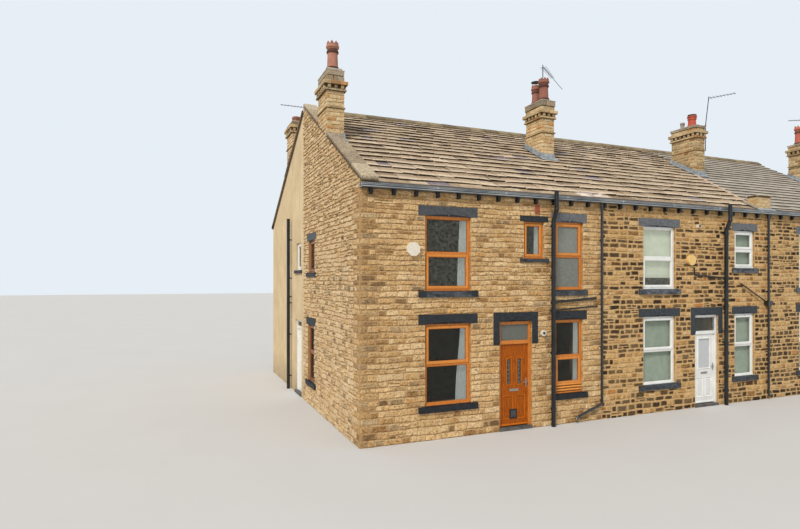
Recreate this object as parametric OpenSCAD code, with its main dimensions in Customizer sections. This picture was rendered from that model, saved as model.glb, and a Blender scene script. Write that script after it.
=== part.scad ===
/* [Row] */
// Distance from the gable face to the first party wall
first_bay = 7030; // [6800:10:7600]
// Distance from one party wall to the next
bay = 6620; // [6400:10:7400]
// Depth of the houses from the front face to the rear face
depth = 10950; // [10000:50:12500]
// Thickness of the stone walls
wall_t = 500; // [400:10:560]
// Thickness of the ground floor slab above the footing level
ground_floor_t = 70; // [60:5:78]
// Height of the top of the first floor
first_floor_z = 3120; // [3110:5:3200]
// Thickness of the first floor
first_floor_t = 220; // [150:5:225]

/* [Roof] */
// Height of the slate surface at the eaves
eaves_z = 5810; // [5800:5:6200]
// Height of the slate surface at the ridge
ridge_z = 8975; // [8700:5:9600]
// How far the slates run past the wall face
eaves_overhang = 90; // [60:5:100]
// Vertical thickness of the slates over the gutter
slate_t = 35; // [25:5:45]
// Vertical thickness of the whole roof, rafters included
roof_t = 150; // [110:5:200]
// Place where stone slates give way to tiles, from the second party wall
tiles_start = -230; // [-400:10:-60]
// How far the verge runs past the rear half of the gable
verge_overhang = 60; // [20:5:100]
// Width of the ridge tiles on one slope
ridge_tile_w = 210; // [150:10:260]
// Thickness of the ridge tiles
ridge_tile_t = 45; // [30:5:60]
// Width of the coping stones on the gable
coping_w = 380; // [300:10:420]
// Vertical thickness of the coping stones
coping_t = 110; // [80:5:150]
// How far the coping runs past the gable face
coping_lip = 10; // [5:1:60]
// How far the parapet under the coping stands above the slates
parapet_rise = 60; // [40:5:100]
// How far the foot of the coping runs past the front face
kneeler_out = 150; // [125:5:180]

/* [Gutter] */
// Height of the gutter
gutter_h = 110; // [90:5:120]
// How far the gutter stands out from the wall
gutter_out = 160; // [150:5:200]
// Thickness of the gutter's sides and bottom
gutter_t = 22; // [15:1:24]
// Distance between the corbels under the gutter
corbel_pitch = 544; // [400:4:700]
// Width of one corbel
corbel_w = 90; // [70:5:120]
// Height of one corbel
corbel_h = 150; // [100:5:200]
// How far a corbel stands out from the wall
corbel_out = 115; // [80:5:140]

/* [Windows] */
// Width of the main windows
window_w = 1200; // [1000:10:1300]
// Width of the narrow windows
narrow_w = 875; // [700:5:900]
// Width of the small window over the first door
small_w = 600; // [400:10:680]
// Height of the heads of the ground floor openings
low_head_z = 2655; // [2640:5:2665]
// Height of the sills of the ground floor windows
low_sill_z = 777; // [600:1:1000]
// Height of the heads of the upper windows
up_head_z = 5156; // [5100:1:5200]
// Height of the sills of the upper windows
up_sill_z = 3424; // [3360:1:3600]
// Height of the head of the small window
small_head_z = 5130; // [5000:5:5150]
// Height of the sill of the small window
small_sill_z = 4210; // [3800:5:4400]
// Height of the sill of the short upper windows
short_sill_z = 4036; // [3800:1:4300]
// Distance from the wall face to the window frames
recess = 60; // [55:5:100]
// Width of the window frame members
frame_w = 62; // [45:1:75]
// Depth of the window frames
frame_d = 65; // [45:5:80]
// Thickness of the glass
glass_t = 20; // [12:1:30]
// Height of the boarded panel in the right-hand ground floor window
panel_h = 250; // [100:10:400]

/* [Stone dressings] */
// Height of the main lintels
lintel_h = 229; // [180:1:240]
// How far a lintel bears on the wall at each end
bearing = 170; // [120:5:185]
// How far the lintels and sills of the narrow windows bear on the wall
narrow_bearing = 120; // [80:5:160]
// Rise of the curved soffit of a lintel
soffit_rise = 42; // [20:2:60]
// Depth of the lintels and sills in the wall
dressing_d = 220; // [200:5:240]
// How far lintels stand out from the wall face
lintel_out = 12; // [5:1:25]
// Height of the sills
sill_h = 144; // [110:2:160]
// How far sills stand out from the wall face
sill_out = 50; // [30:5:50]
// Height of the lintel over the small window
small_lintel_h = 140; // [100:5:160]
// Height of the sill under the small window
small_sill_h = 90; // [70:5:110]
// Fall of the sill's top from the frame to its front edge
sill_fall = 24; // [12:1:45]

/* [Doors] */
// Width of the doorways
door_w = 950; // [900:10:1000]
// Width of the door frame members
jamb_w = 70; // [55:5:80]
// Depth of the door frames
door_frame_d = 80; // [60:5:100]
// Height of the door leaf
leaf_h = 2010; // [1950:5:2030]
// Thickness of the door leaf
leaf_t = 44; // [40:1:54]
// Gap between the door leaf and its frame
door_gap = 7; // [7:1:10]
// Gap between the door leaf and the threshold
sweep_gap = 15; // [10:1:20]
// Height of the transom bar over the door leaf
transom_h = 90; // [60:5:120]
// Height of the underside of the corbelled blocks beside the doors
jamb_block_z = 2100; // [1900:10:2300]
// Radius of the hinge knuckles
knuckle_r = 9; // [7:1:12]
// Length of the middle hinge knuckle
knuckle_l = 44; // [30:2:60]
// How far the door steps stand out from the wall face
step_out = 25; // [0:5:60]

/* [Chimneys] */
// Width of the chimney stacks along the row
stack_w = 500; // [400:10:500]
// Height at which the stacks start on the walls
stack_base_z = 6900; // [6600:50:7050]
// How far the top courses stand out from a stack
oversail = 80; // [50:5:100]
// How far the string course stands out from a stack
string_out = 25; // [15:1:35]
// Height of the projecting course on top of a stack
top_course_h = 110; // [70:5:130]
// Height of the dentils under the projecting course
dentil_h = 95; // [60:5:110]
// Width of a dentil and of the gap beside it
dentil_w = 90; // [60:5:110]
// Clearance between a stack and the roof round it
stack_gap = 5; // [2:1:20]
// Height of the stub stack at the eaves
stub_h = 640; // [500:10:900]
// Thickness of the lead round the stacks
lead_t = 12; // [6:1:16]
// Height of the lead that stands up against the stacks
lead_up = 150; // [80:10:180]

/* [Pipes] */
// Radius of the soil pipes
soil_r = 55; // [45:1:60]
// Radius of the rainwater downpipes
down_r = 34; // [30:1:40]
// Radius of the waste pipes
waste_r = 20; // [16:1:25]
// Radius of the branch pipe on the first soil pipe
branch_r = 32; // [24:1:40]
// Gap between a pipe and the wall
pipe_off = 55; // [55:1:70]
// How far the collars stand out from the soil pipes
collar_out = 10; // [6:1:14]
// Height of the collars on the soil pipes
collar_h = 80; // [50:5:110]
// Height of the hopper heads on the downpipes
hopper_h = 180; // [140:10:240]
// Width of the hopper heads
hopper_w = 220; // [180:10:280]

/* [Aerials] */
// Radius of the aerial masts
mast_r = 14; // [10:1:20]
// Length of the part of a mast that is strapped to its stack
mast_foot = 900; // [600:50:900]
// Length of the rods across an aerial's boom
rod_l = 220; // [150:10:500]

/* [Hidden] */
$fn = 48;
eps = 1;
// Clearance between flat pieces that rest on each other
seat = 0.3;
houses = 3;
row_l = first_bay + (houses - 1) * bay + wall_t;
party_x = [for (i = [0 : houses - 1]) first_bay + i * bay];
tiles_x = party_x[1] + tiles_start;
mid_y = depth / 2;
// The head of a soil pipe stands this far out from the gutter
soil_step = 20;
// An elbow's radius as a share of its pipe's
elbow = 1.12;
x_low = -2 * soil_r - pipe_off;
x_high = row_l + oversail;
y_low = -gutter_out - soil_step - soil_r * (1 + elbow);
y_high = depth + gutter_out;
slope = (ridge_z - eaves_z) / (mid_y + eaves_overhang);
gutter_top = eaves_z - 10;
gutter_z = gutter_top - gutter_h;
transom_z = ground_floor_t + sweep_gap + leaf_h + door_gap;
leaf_z = ground_floor_t + sweep_gap;
leaf_w = door_w - 2 * jamb_w - 2 * door_gap;
lintel_front_d = 50;

// Places of the openings, from the gable face or from a party wall
main_x1 = 2175;
door_x1 = 4038;
small_x1 = 4574;
narrow_x1 = 5665;
main_x = 1755;
door_x = 3605;
narrow_x = 5220;
door_u = [door_x1, party_x[0] + door_x, party_x[1] + door_x];

// An opening is [centre, width, sill, head, lintel height, sill height, bottom rail]
function up_window(u, w) = [u, w, up_sill_z, up_head_z, lintel_h, sill_h, frame_w];
function low_window(u, w, rail = frame_w) = [u, w, low_sill_z, low_head_z, lintel_h, sill_h, rail];
small_window = [small_x1, small_w, small_sill_z, small_head_z, small_lintel_h, small_sill_h, frame_w];

house_1_windows = [
    up_window(main_x1, window_w),
    low_window(main_x1, window_w),
    small_window,
    up_window(narrow_x1, narrow_w),
    low_window(narrow_x1, narrow_w, panel_h)
];
function later_windows(x) = [
    up_window(x + main_x, window_w),
    low_window(x + main_x, window_w),
    [x + narrow_x, narrow_w, short_sill_z, up_head_z, lintel_h, sill_h, frame_w],
    low_window(x + narrow_x, narrow_w)
];
house_2_windows = later_windows(party_x[0]);
house_3_windows = later_windows(party_x[1]);
front_windows = concat(house_1_windows, house_2_windows, house_3_windows);

// Openings of the gable, placed from the line under the ridge
gable_up = [1045 - mid_y, 760, 3890, 4840, 200, 120, frame_w];
gable_low = [990 - mid_y, 810, 700, 2370, 200, 140, frame_w];
gable_small = [-720 - mid_y, 670, 3990, 4865, 0, 100, frame_w];
gable_door_y = mid_y + 775;
gable_door_head = 2400;
gable_pipe_y = mid_y + 1855;
gable_stone_windows = [gable_up, gable_low];

// The rear repeats the front, without stone lintels
rear_windows = [for (o = front_windows) [-o[0], o[1], o[2], o[3], 0, o[5], frame_w]];

// Chimneys are [left face, front face, depth, top of the cap, cap height, height of the block below it]
chimneys = [
    [0, mid_y - 2705, 940, ridge_z + 375, 380, 0],
    [party_x[0] + (wall_t - stack_w) / 2, mid_y - 2515, 860, ridge_z + 465, 240, 130],
    [party_x[1] + (wall_t - stack_w) / 2, mid_y - 2625, 1040, ridge_z + 335, 130, 90],
    [row_l - stack_w, mid_y - 2705, 1040, ridge_z + 385, 130, 90],
    [0, mid_y + 1765, 940, ridge_z + 145, 170, 0]
];

// Pots are [chimney, distance from the stack's front face, height, radius, crowned]
pots = [
    [0, 300, 770, 142, true],
    [1, 230, 720, 142, true],
    [1, 645, 600, 124, false],
    [2, 340, 430, 135, false],
    [2, 750, 240, 70, false],
    [3, 756, 780, 135, true],
    [4, 500, 230, 125, false]
];

// The pot that carries a cowl
cowled_pot = 2;

// Aerials are [chimney, place from the stack's left and front faces, height over the cap, heading, boom, lean]
mast_off = oversail + mast_r + seat;
aerial_list = [
    [1, stack_w + mast_off, 730, 1390, 37, 2540, 0],
    [2, stack_w + mast_off, 60, 1100, -72, 900, 9],
    [3, -mast_off, 380, 940, 150, 550, 0],
    [4, stack_w + mast_off, 470, 660, 180, 900, 0]
];

stub_x = party_x[1] - 770;
stub_w = 650;
stub_y = 60;
stub_d = 315;
stub_z = 5660;

soil_pipe_x = [5080, party_x[0] + 4280, party_x[1] + 4280];
down_pipe_x = [party_x[0] - 380, party_x[1] - 440, party_x[2] - 440];

// Heights of the waste pipes where they join a soil pipe
waste_low_z = 2902;
waste_mid_z = 3110;
waste_high_z = 3740;
// The soil pipes step out between these heights, and end over the eaves
step_low_z = gutter_z - 560;
step_high_z = gutter_z - 260;
soil_top_z = eaves_z + 90;
collar_z = [440, 1840, waste_low_z, waste_mid_z, waste_high_z, step_low_z - 90];
clip_z = [500, 1900, 3300, gutter_z - 990];
clip_h = 50;
hopper_z = 2850;
foot_z = 470;

// Fittings on the front are [X, Z]
alarm_1 = [1260, 4376];
alarm_2 = [party_x[0] + 2930, 4250];
lamp_1 = [door_u[0] + 792, 2350];
floodlight = [party_x[0] + 3225, 5235];

// Height of the slate surface at a distance from the front face
function roof_z(y) = eaves_z + slope * (min(y, depth - y) + eaves_overhang);
function roof_under(y) = roof_z(y) - roof_t;
function wall_top(y) = roof_under(y) - seat;

// The whole row, centred on its footprint
module placed() {
    translate([-(x_low + x_high) / 2, -(y_low + y_high) / 2, 0]) children();
}

// A profile in Y and Z, run along X
module along_x(x, length) {
    translate([x, 0, 0]) rotate([90, 0, 90]) linear_extrude(length) children();
}

// A profile in X and Z, run along Y
module along_y(y, length) {
    translate([0, y + length, 0]) rotate([90, 0, 0]) linear_extrude(length) children();
}

// The gable and the rear are drawn as if they were the front
module on_gable() {
    rotate([0, 0, -90]) children();
}
module on_rear() {
    translate([0, depth, 0]) rotate([0, 0, 180]) children();
}

// How far the stones of an opening bear on the wall
function bears(o) = o[1] == small_w || o[1] == narrow_w ? narrow_bearing : bearing;

// The hole of an opening with the pockets of its lintel and sill
module opening_cut(o) {
    translate([o[0] - o[1] / 2, -eps, o[2]]) cube([o[1], wall_t + 2 * eps, o[3] - o[2]]);
    if (o[4] > 0)
        translate([o[0] - o[1] / 2 - bears(o), -eps, o[3]])
            cube([o[1] + 2 * bears(o), dressing_d + eps, o[4]]);
    translate([o[0] - o[1] / 2 - bears(o), -eps, o[2] - o[5]])
        cube([o[1] + 2 * bears(o), dressing_d + eps, o[5]]);
}

// The hole of a doorway with a corbelled surround
module doorway_cut(u) {
    translate([u - door_w / 2, -eps, -eps]) cube([door_w, wall_t + 2 * eps, low_head_z + eps]);
    translate([u - door_w / 2 - bearing, -eps, jamb_block_z])
        cube([door_w + 2 * bearing, dressing_d + eps, low_head_z + lintel_h - jamb_block_z]);
}

module plain_doorway_cut(u, head) {
    translate([u - door_w / 2, -eps, -eps]) cube([door_w, wall_t + 2 * eps, head + eps]);
}

module stub_pocket(gap) {
    translate([stub_x - gap, stub_y - gap, stub_z])
        cube([stub_w + 2 * gap, stub_d + 2 * gap, stub_h]);
}

// A length of the front wall, with its sloping head
module front_length(x0, x1, z0 = 0) {
    along_x(x0, x1 - x0)
        polygon([[0, z0], [wall_t, z0], [wall_t, wall_top(wall_t)], [0, wall_top(0)]]);
}

module front_wall() {
    color("burlywood") difference() {
        union() {
            front_length(0, door_u[0] - door_w / 2);
            front_length(door_u[0] + door_w / 2, door_u[1] - door_w / 2);
            front_length(door_u[1] + door_w / 2, row_l);
        }
        for (o = front_windows) opening_cut(o);
        for (u = door_u) doorway_cut(u);
        stub_pocket(0);
    }
}

module front_wall_over_doors() {
    color("tan") difference() {
        for (i = [0, 1])
            front_length(door_u[i] - door_w / 2, door_u[i] + door_w / 2, low_head_z);
        for (u = door_u) doorway_cut(u);
        opening_cut(small_window);
    }
}

// The gable under the slates between two distances from the front
module gable_part(y0, y1) {
    along_x(0, wall_t) polygon([[y0, 0], [y1, 0], [y1, wall_top(y1)], [y0, wall_top(y0)]]);
}

module stack_pocket(c, gap) {
    translate([c[0] - gap, c[1] - gap, stack_base_z])
        cube([stack_w + 2 * gap, c[2] + 2 * gap, ridge_z]);
}

module gable_wall_stone() {
    color("wheat") difference() {
        union() {
            gable_part(wall_t, mid_y);
            along_x(0, coping_w)
                polygon([[0, wall_top(0) + seat], [wall_t, wall_top(wall_t) + seat],
                    [wall_t, wall_top(wall_t)], [mid_y, wall_top(mid_y)],
                    [mid_y, roof_z(mid_y) + parapet_rise], [0, roof_z(0) + parapet_rise]]);
        }
        on_gable() for (o = gable_stone_windows) opening_cut(o);
        stack_pocket(chimneys[0], 0);
    }
}

module gable_wall_rendered() {
    color("bisque") difference() {
        gable_part(mid_y, depth - wall_t);
        on_gable() {
            opening_cut(gable_small);
            plain_doorway_cut(-gable_door_y, gable_door_head);
        }
        stack_pocket(chimneys[4], 0);
    }
}

module rear_wall() {
    color("bisque") difference() {
        along_x(0, row_l)
            polygon([[depth - wall_t, 0], [depth, 0], [depth, wall_top(depth)],
                [depth - wall_t, wall_top(depth - wall_t)]]);
        on_rear() {
            for (o = rear_windows) opening_cut(o);
            for (u = door_u) plain_doorway_cut(-u, low_head_z);
        }
    }
}

// A wall across the row, under both slopes
module cross_wall(x) {
    along_x(x, wall_t)
        polygon([[wall_t, 0], [depth - wall_t, 0], [depth - wall_t, wall_top(wall_t)],
            [mid_y, wall_top(mid_y)], [wall_t, wall_top(wall_t)]]);
}

module party_walls() {
    color("rosybrown") difference() {
        for (i = [0 : houses - 2]) cross_wall(party_x[i]);
        for (i = [1, 2]) stack_pocket(chimneys[i], 0);
    }
}

module end_wall() {
    color("rosybrown") difference() {
        cross_wall(row_l - wall_t);
        stack_pocket(chimneys[3], 0);
    }
}

// Floors between the inner faces of the walls, one to a house
module floors(z, t) {
    starts = concat([wall_t], [for (i = [0 : houses - 2]) party_x[i] + wall_t]);
    for (i = [0 : houses - 1])
        translate([starts[i], wall_t, z - t])
            cube([party_x[i] - starts[i], depth - 2 * wall_t, t]);
}

module ground_floor() {
    color("dimgray") floors(ground_floor_t, ground_floor_t);
}

module first_floor() {
    color("sienna") floors(first_floor_z, first_floor_t);
}

// One slope of the roof, drawn for the front
module roof_slope(x0, x1) {
    along_x(x0, x1 - x0)
        polygon([[-eaves_overhang, eaves_z], [mid_y, ridge_z], [mid_y, ridge_z - roof_t],
            [0, roof_under(0)], [0, roof_z(0) - slate_t], [-eaves_overhang, eaves_z - slate_t]]);
}

module stack_holes() {
    for (c = chimneys) stack_pocket(c, stack_gap);
    stub_pocket(stack_gap);
}

module roof_slates_front() {
    color("darkkhaki") difference() {
        roof_slope(coping_w, tiles_x);
        stack_holes();
    }
}

module roof_tiles_front() {
    color("slategray") difference() {
        roof_slope(tiles_x, row_l);
        stack_holes();
    }
}

module to_rear_slope() {
    translate([0, depth, 0]) mirror([0, 1, 0]) children();
}

module roof_slates_rear() {
    color("darkkhaki") difference() {
        to_rear_slope() roof_slope(-verge_overhang, tiles_x);
        stack_holes();
    }
}

module roof_tiles_rear() {
    color("slategray") to_rear_slope() roof_slope(tiles_x, row_l);
}

module ridge_tiles() {
    color("gray") along_x(coping_w, row_l - coping_w)
        polygon([[mid_y - ridge_tile_w, roof_z(mid_y - ridge_tile_w) + seat],
            [mid_y, ridge_z + seat], [mid_y + ridge_tile_w, roof_z(mid_y + ridge_tile_w) + seat],
            [mid_y + ridge_tile_w, roof_z(mid_y + ridge_tile_w) + ridge_tile_t],
            [mid_y + ridge_tile_t, ridge_z + ridge_tile_t + seat],
            [mid_y - ridge_tile_t, ridge_z + ridge_tile_t + seat],
            [mid_y - ridge_tile_w, roof_z(mid_y - ridge_tile_w) + ridge_tile_t]]);
}

// A run of coping stones on the front half of the gable
module coping_run(y0, y1) {
    base = parapet_rise + seat;
    along_x(-coping_lip, coping_w + coping_lip)
        polygon([[y0, roof_z(y0) + base], [y1, roof_z(y1) + base],
            [y1, roof_z(y1) + base + coping_t], [y0, roof_z(y0) + base + coping_t]]);
}

module gable_coping() {
    color("dimgray") {
        coping_run(-kneeler_out, chimneys[0][1]);
        coping_run(chimneys[0][1] + chimneys[0][2], mid_y);
    }
}

// A moulded trough gutter, drawn for the front
module gutter(x0, x1) {
    along_x(x0, x1 - x0) difference() {
        union() {
            translate([-gutter_out + gutter_t, gutter_z])
                square([gutter_out - gutter_t - seat, gutter_h]);
            translate([-gutter_out + gutter_t, gutter_z + gutter_t]) circle(gutter_t);
            translate([-gutter_out, gutter_top - gutter_t]) square([gutter_t, gutter_t]);
            translate([-gutter_out + gutter_t, gutter_z + gutter_h * 0.55]) circle(gutter_t * 0.6);
        }
        translate([-gutter_out + 2 * gutter_t, gutter_z + gutter_t])
            square([gutter_out - 3 * gutter_t, gutter_h]);
    }
}

module gutters() {
    color("darkslategray") {
        gutter(0, row_l);
        to_rear_slope() gutter(0, row_l);
    }
}

// Corbels with rounded undersides, face to face with the wall
module corbel(x) {
    along_x(x - corbel_w / 2, corbel_w) difference() {
        translate([-corbel_out, gutter_z - corbel_h]) square([corbel_out, corbel_h - seat]);
        difference() {
            translate([-corbel_out - eps, gutter_z - corbel_h - eps])
                square([corbel_out * 0.6 + eps, corbel_h * 0.5 + eps]);
            translate([-corbel_out * 0.4, gutter_z - corbel_h * 0.5]) circle(corbel_out * 0.6);
        }
    }
}

module eaves_corbels() {
    count = floor((row_l - corbel_pitch / 2) / corbel_pitch);
    clear = corbel_w / 2 + down_r + 10;
    color("black") for (i = [0 : count]) {
        x = corbel_pitch * (i + 0.45);
        if (min([for (p = down_pipe_x) abs(x - p)]) > clear) {
            corbel(x);
            to_rear_slope() corbel(x);
        }
    }
}

// A block of a stack that stands out by the same amount on all sides
module course(c, z0, z1, out) {
    translate([c[0] - out, c[1] - out, z0]) cube([stack_w + 2 * out, c[2] + 2 * out, z1 - z0]);
}

// Height of the roof against the side of a stack that faces the ridge
function high_side(c) =
    max(roof_z(c[1] - lead_t - seat), roof_z(c[1] + c[2] + lead_t + seat));

// Bars through a stack, evenly spaced over a face of the given width
function dentil_count(w) = floor((w + dentil_w) / (2 * dentil_w));
function dentil_place(w, i) = (w - (2 * dentil_count(w) - 1) * dentil_w) / 2 + 2 * dentil_w * i;

// A stack with a string course, a dentilled oversail and a weathered cap
module chimney_stack(c) {
    cap_z = c[3] - c[4];
    course_z = cap_z - c[5] - top_course_h;
    dentil_z = course_z - dentil_h;
    belt_h = 65;
    string_h = 50;
    string_z = max(dentil_z - 525, high_side(c) + lead_up + 20);
    dentil_out = oversail * 0.7;
    course(c, stack_base_z, cap_z, 0);
    course(c, string_z, string_z + string_h, string_out);
    course(c, dentil_z - belt_h, dentil_z, oversail * 0.6);
    for (i = [0 : dentil_count(stack_w) - 1])
        translate([c[0] + dentil_place(stack_w, i), c[1] - dentil_out, dentil_z])
            cube([dentil_w, c[2] + 2 * dentil_out, dentil_h]);
    for (i = [0 : dentil_count(c[2]) - 1])
        translate([c[0] - dentil_out, c[1] + dentil_place(c[2], i), dentil_z])
            cube([stack_w + 2 * dentil_out, dentil_w, dentil_h]);
    course(c, course_z, course_z + top_course_h, oversail);
    weathered_cap(c, cap_z, c[3]);
}

// The cap on top, with upright sides and a sloping top, as two crossed wedges
module weathered_cap(c, z0, z1) {
    inset = 50;
    lip = c[5] > 0 ? 25 : 0;
    edge = (z1 - z0) * 0.8;
    function slab(a, w) = [[a - lip, z0], [a + w + lip, z0], [a + w + lip, z0 + edge],
        [a + w - inset, z1], [a + inset, z1], [a - lip, z0 + edge]];
    intersection() {
        along_x(c[0] - lip, stack_w + 2 * lip) polygon(slab(c[1], c[2]));
        along_y(c[1] - lip, c[2] + 2 * lip) polygon(slab(c[0], stack_w));
    }
}

module chimney_stacks() {
    color("peru") for (c = chimneys) chimney_stack(c);
}

// A clay pot with a base roll, a neck collar and an optional crown of eight spikes
module pot(h, r, crowned) {
    wall = r * 0.16;
    notch = PI * r * 1.1 / 8;
    difference() {
        rotate_extrude() polygon([[r - wall, 0], [r * 1.25, 0], [r * 1.25, h * 0.06],
            [r * 1.05, h * 0.12], [r * 0.95, h * 0.55], [r, h * 0.56], [r * 1.15, h * 0.6],
            [r * 1.15, h * 0.65], [r, h * 0.7], [r, h * 0.74], [r * 1.25, h * 0.78],
            [r * 1.25, h * 0.84], [r * 1.12, h * 0.87], [r * 1.1, h], [r - wall, h]]);
        if (crowned)
            for (a = [0 : 3])
                rotate([0, 0, 45 * a]) along_y(-r * 2, r * 4)
                    polygon([[0, h * 0.88], [notch, h + eps], [-notch, h + eps]]);
    }
}

module chimney_pots() {
    color("firebrick") for (p = pots) {
        c = chimneys[p[0]];
        translate([c[0] + stack_w / 2, c[1] + p[1], c[3] + seat]) pot(p[2], p[3], p[4]);
    }
}

// A domed cowl on three legs that stand on a pot's rim
module pot_cowl() {
    p = pots[cowled_pot];
    c = chimneys[p[0]];
    leg_h = 115;
    leg_r = 6;
    cowl_r = p[3] * 1.25;
    color("darkslategray")
        translate([c[0] + stack_w / 2, c[1] + p[1], c[3] + p[2] + 2 * seat]) {
            rotate_extrude() polygon([[0, leg_h], [cowl_r, leg_h], [cowl_r * 0.95, leg_h + 14],
                [cowl_r * 0.5, leg_h + 38], [0, leg_h + 45]]);
            for (a = [0 : 120 : 240])
                rotate([0, 0, a]) translate([p[3] * 0.97, 0, 0]) cylinder(h = leg_h + 8, r = leg_r);
        }
}

// Lead on a slope, flat under the given height and standing up over it
module lead_sheet(x0, x1, y0, y1, h = lead_t) {
    along_x(x0, x1 - x0)
        polygon([[y0, roof_z(y0) + seat], [y1, roof_z(y1) + seat], [y1, roof_z(y1) + h],
            [y0, roof_z(y0) + h]]);
}

// Lead round a stack: a flat border, and an upstand against the stack's faces
module stack_lead(c) {
    apron = 160;
    side = 70;
    front = c[1] < mid_y;
    up = lead_t + seat;
    verge = front ? coping_w + seat : -verge_overhang;
    upstand_x = front ? coping_w + coping_lip + seat : -verge_overhang;
    lead_sheet(max(c[0] - side, verge), min(c[0] + stack_w + side, row_l),
        c[1] - (front ? apron : side), c[1] + c[2] + (front ? side : apron));
    lead_sheet(max(c[0] - up, upstand_x), min(c[0] + stack_w + up, row_l),
        c[1] - up, c[1] + c[2] + up, lead_up);
}

module chimney_leads() {
    side = 70;
    color("steelblue") difference() {
        union() {
            for (c = chimneys) stack_lead(c);
            lead_sheet(stub_x - side, stub_x + stub_w + side, 20 - eaves_overhang,
                stub_y + stub_d + side);
        }
        for (c = chimneys) stack_pocket(c, seat);
        stub_pocket(seat);
    }
}

module stub_stack() {
    cap = 50;
    color("sienna") {
        translate([stub_x, stub_y, stub_z]) cube([stub_w, stub_d, stub_h - cap]);
        translate([stub_x - 25, stub_y - 25, stub_z + stub_h - cap])
            cube([stub_w + 50, stub_d + 50, cap]);
    }
}

// The curved soffit of a lintel over an opening, as a circle to cut away
module soffit_circle(w) {
    r = (w * w / 4 + soffit_rise * soffit_rise) / (2 * soffit_rise);
    translate([0, soffit_rise - r]) circle(r, $fn = 180);
}

// A lintel whose front has a curved soffit, a pendant and a boss
module lintel(o) {
    length = o[1] + 2 * bears(o);
    h = o[4];
    pendant = 34;
    boss_r = 30;
    translate([o[0], 0, o[3]]) {
        along_y(-lintel_out, lintel_front_d + lintel_out) {
            difference() {
                translate([-length / 2, 0]) square([length, h]);
                soffit_circle(o[1]);
            }
            polygon([[-pendant, soffit_rise + 4], [-pendant / 2, 6], [pendant / 2, 6],
                [pendant, soffit_rise + 4]]);
        }
        translate([-length / 2, lintel_front_d, 0])
            cube([length, dressing_d - lintel_front_d, h]);
        translate([0, -lintel_out, h * 0.5]) rotate([90, 0, 0]) cylinder(h = 10, r = boss_r);
    }
}

// A plain lintel
module plain_lintel(o) {
    translate([o[0] - o[1] / 2 - bears(o), -lintel_out, o[3]])
        cube([o[1] + 2 * bears(o), dressing_d + lintel_out, o[4]]);
}

// A sill with a weathered top between raised ends
module sill(o) {
    w = o[1];
    h = o[5];
    translate([o[0], 0, o[2] - h]) {
        along_x(-w / 2, w)
            polygon([[-sill_out, 0], [dressing_d, 0], [dressing_d, h], [recess, h],
                [-sill_out, h - sill_fall]]);
        for (x = [-w / 2 - bears(o), w / 2])
            translate([x, -sill_out, 0]) cube([bears(o), dressing_d + sill_out, h]);
    }
}

module window_lintels() {
    color("darkslategray") for (o = front_windows) {
        if (o[4] < lintel_h) plain_lintel(o);
        else lintel(o);
    }
}

module window_sills() {
    color("darkslategray") for (o = front_windows) sill(o);
}

// A door lintel carried on corbelled blocks with moulded feet
module door_surround(u) {
    o = [u, door_w, 0, low_head_z, lintel_h];
    foot_h = 60;
    foot_out = 16;
    lintel(o);
    for (side = [-1, 1]) {
        x = u + side * (door_w / 2 + bearing / 2) - bearing / 2;
        translate([x, -lintel_out, jamb_block_z])
            cube([bearing, dressing_d + lintel_out, low_head_z - jamb_block_z]);
        translate([x, -lintel_out - foot_out, jamb_block_z + foot_h])
            cube([bearing, foot_out, foot_h]);
    }
}

module door_surrounds() {
    color("darkslategray") for (u = door_u) door_surround(u);
}

module gable_lintels() {
    color("darkslategray") on_gable() for (o = gable_stone_windows) plain_lintel(o);
}

module side_sills() {
    color("dimgray") {
        on_gable() for (o = concat(gable_stone_windows, [gable_small])) sill(o);
        on_rear() for (o = rear_windows) sill(o);
    }
}

// The lights of a window as [left, bottom, width, height]
function lights(o) =
    let (w = o[1] - 2 * frame_w, h = o[3] - o[2], half = (h - frame_w) / 2)
    h < 1000
        ? [[-w / 2, frame_w, w, h - 2 * frame_w]]
        : [[-w / 2, o[6], w, half - o[6]],
            [-w / 2, half + frame_w, w, half - frame_w]];

module window_frame(o) {
    translate([o[0], recess, o[2]]) difference() {
        translate([-o[1] / 2, 0, seat]) cube([o[1], frame_d, o[3] - o[2] - 2 * seat]);
        for (l = lights(o))
            translate([l[0], -eps, l[1]]) cube([l[2], frame_d + 2 * eps, l[3]]);
    }
}

module panes(o) {
    translate([o[0], recess + (frame_d - glass_t) / 2, o[2]])
        for (l = lights(o)) translate([l[0], 0, l[1]]) cube([l[2], glass_t, l[3]]);
}

module window_frames_house_1() {
    color("chocolate") for (o = house_1_windows) window_frame(o);
}

module window_frames_house_2() {
    color("white") for (o = house_2_windows) window_frame(o);
}

module window_frames_house_3() {
    color("white") for (o = house_3_windows) window_frame(o);
}

module window_frames_gable() {
    color("white") on_gable()
        for (o = concat(gable_stone_windows, [gable_small])) window_frame(o);
}

module window_frames_rear() {
    color("white") on_rear() for (o = rear_windows) window_frame(o);
}

// The light over a door leaf
module transom_pane(u, head) {
    z = transom_z + transom_h;
    translate([u - door_w / 2 + jamb_w, recess + (door_frame_d - glass_t) / 2, z])
        cube([door_w - 2 * jamb_w, glass_t, head - jamb_w - z]);
}

module window_glass_front() {
    color("lightblue", 0.5) {
        for (o = front_windows) panes(o);
        for (u = door_u) transom_pane(u, low_head_z);
    }
}

module window_glass_rear() {
    color("lightblue", 0.5) {
        on_gable() {
            for (o = concat(gable_stone_windows, [gable_small])) panes(o);
            transom_pane(-gable_door_y, gable_door_head);
        }
        on_rear() {
            for (o = rear_windows) panes(o);
            for (u = door_u) transom_pane(-u, low_head_z);
        }
    }
}

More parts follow.
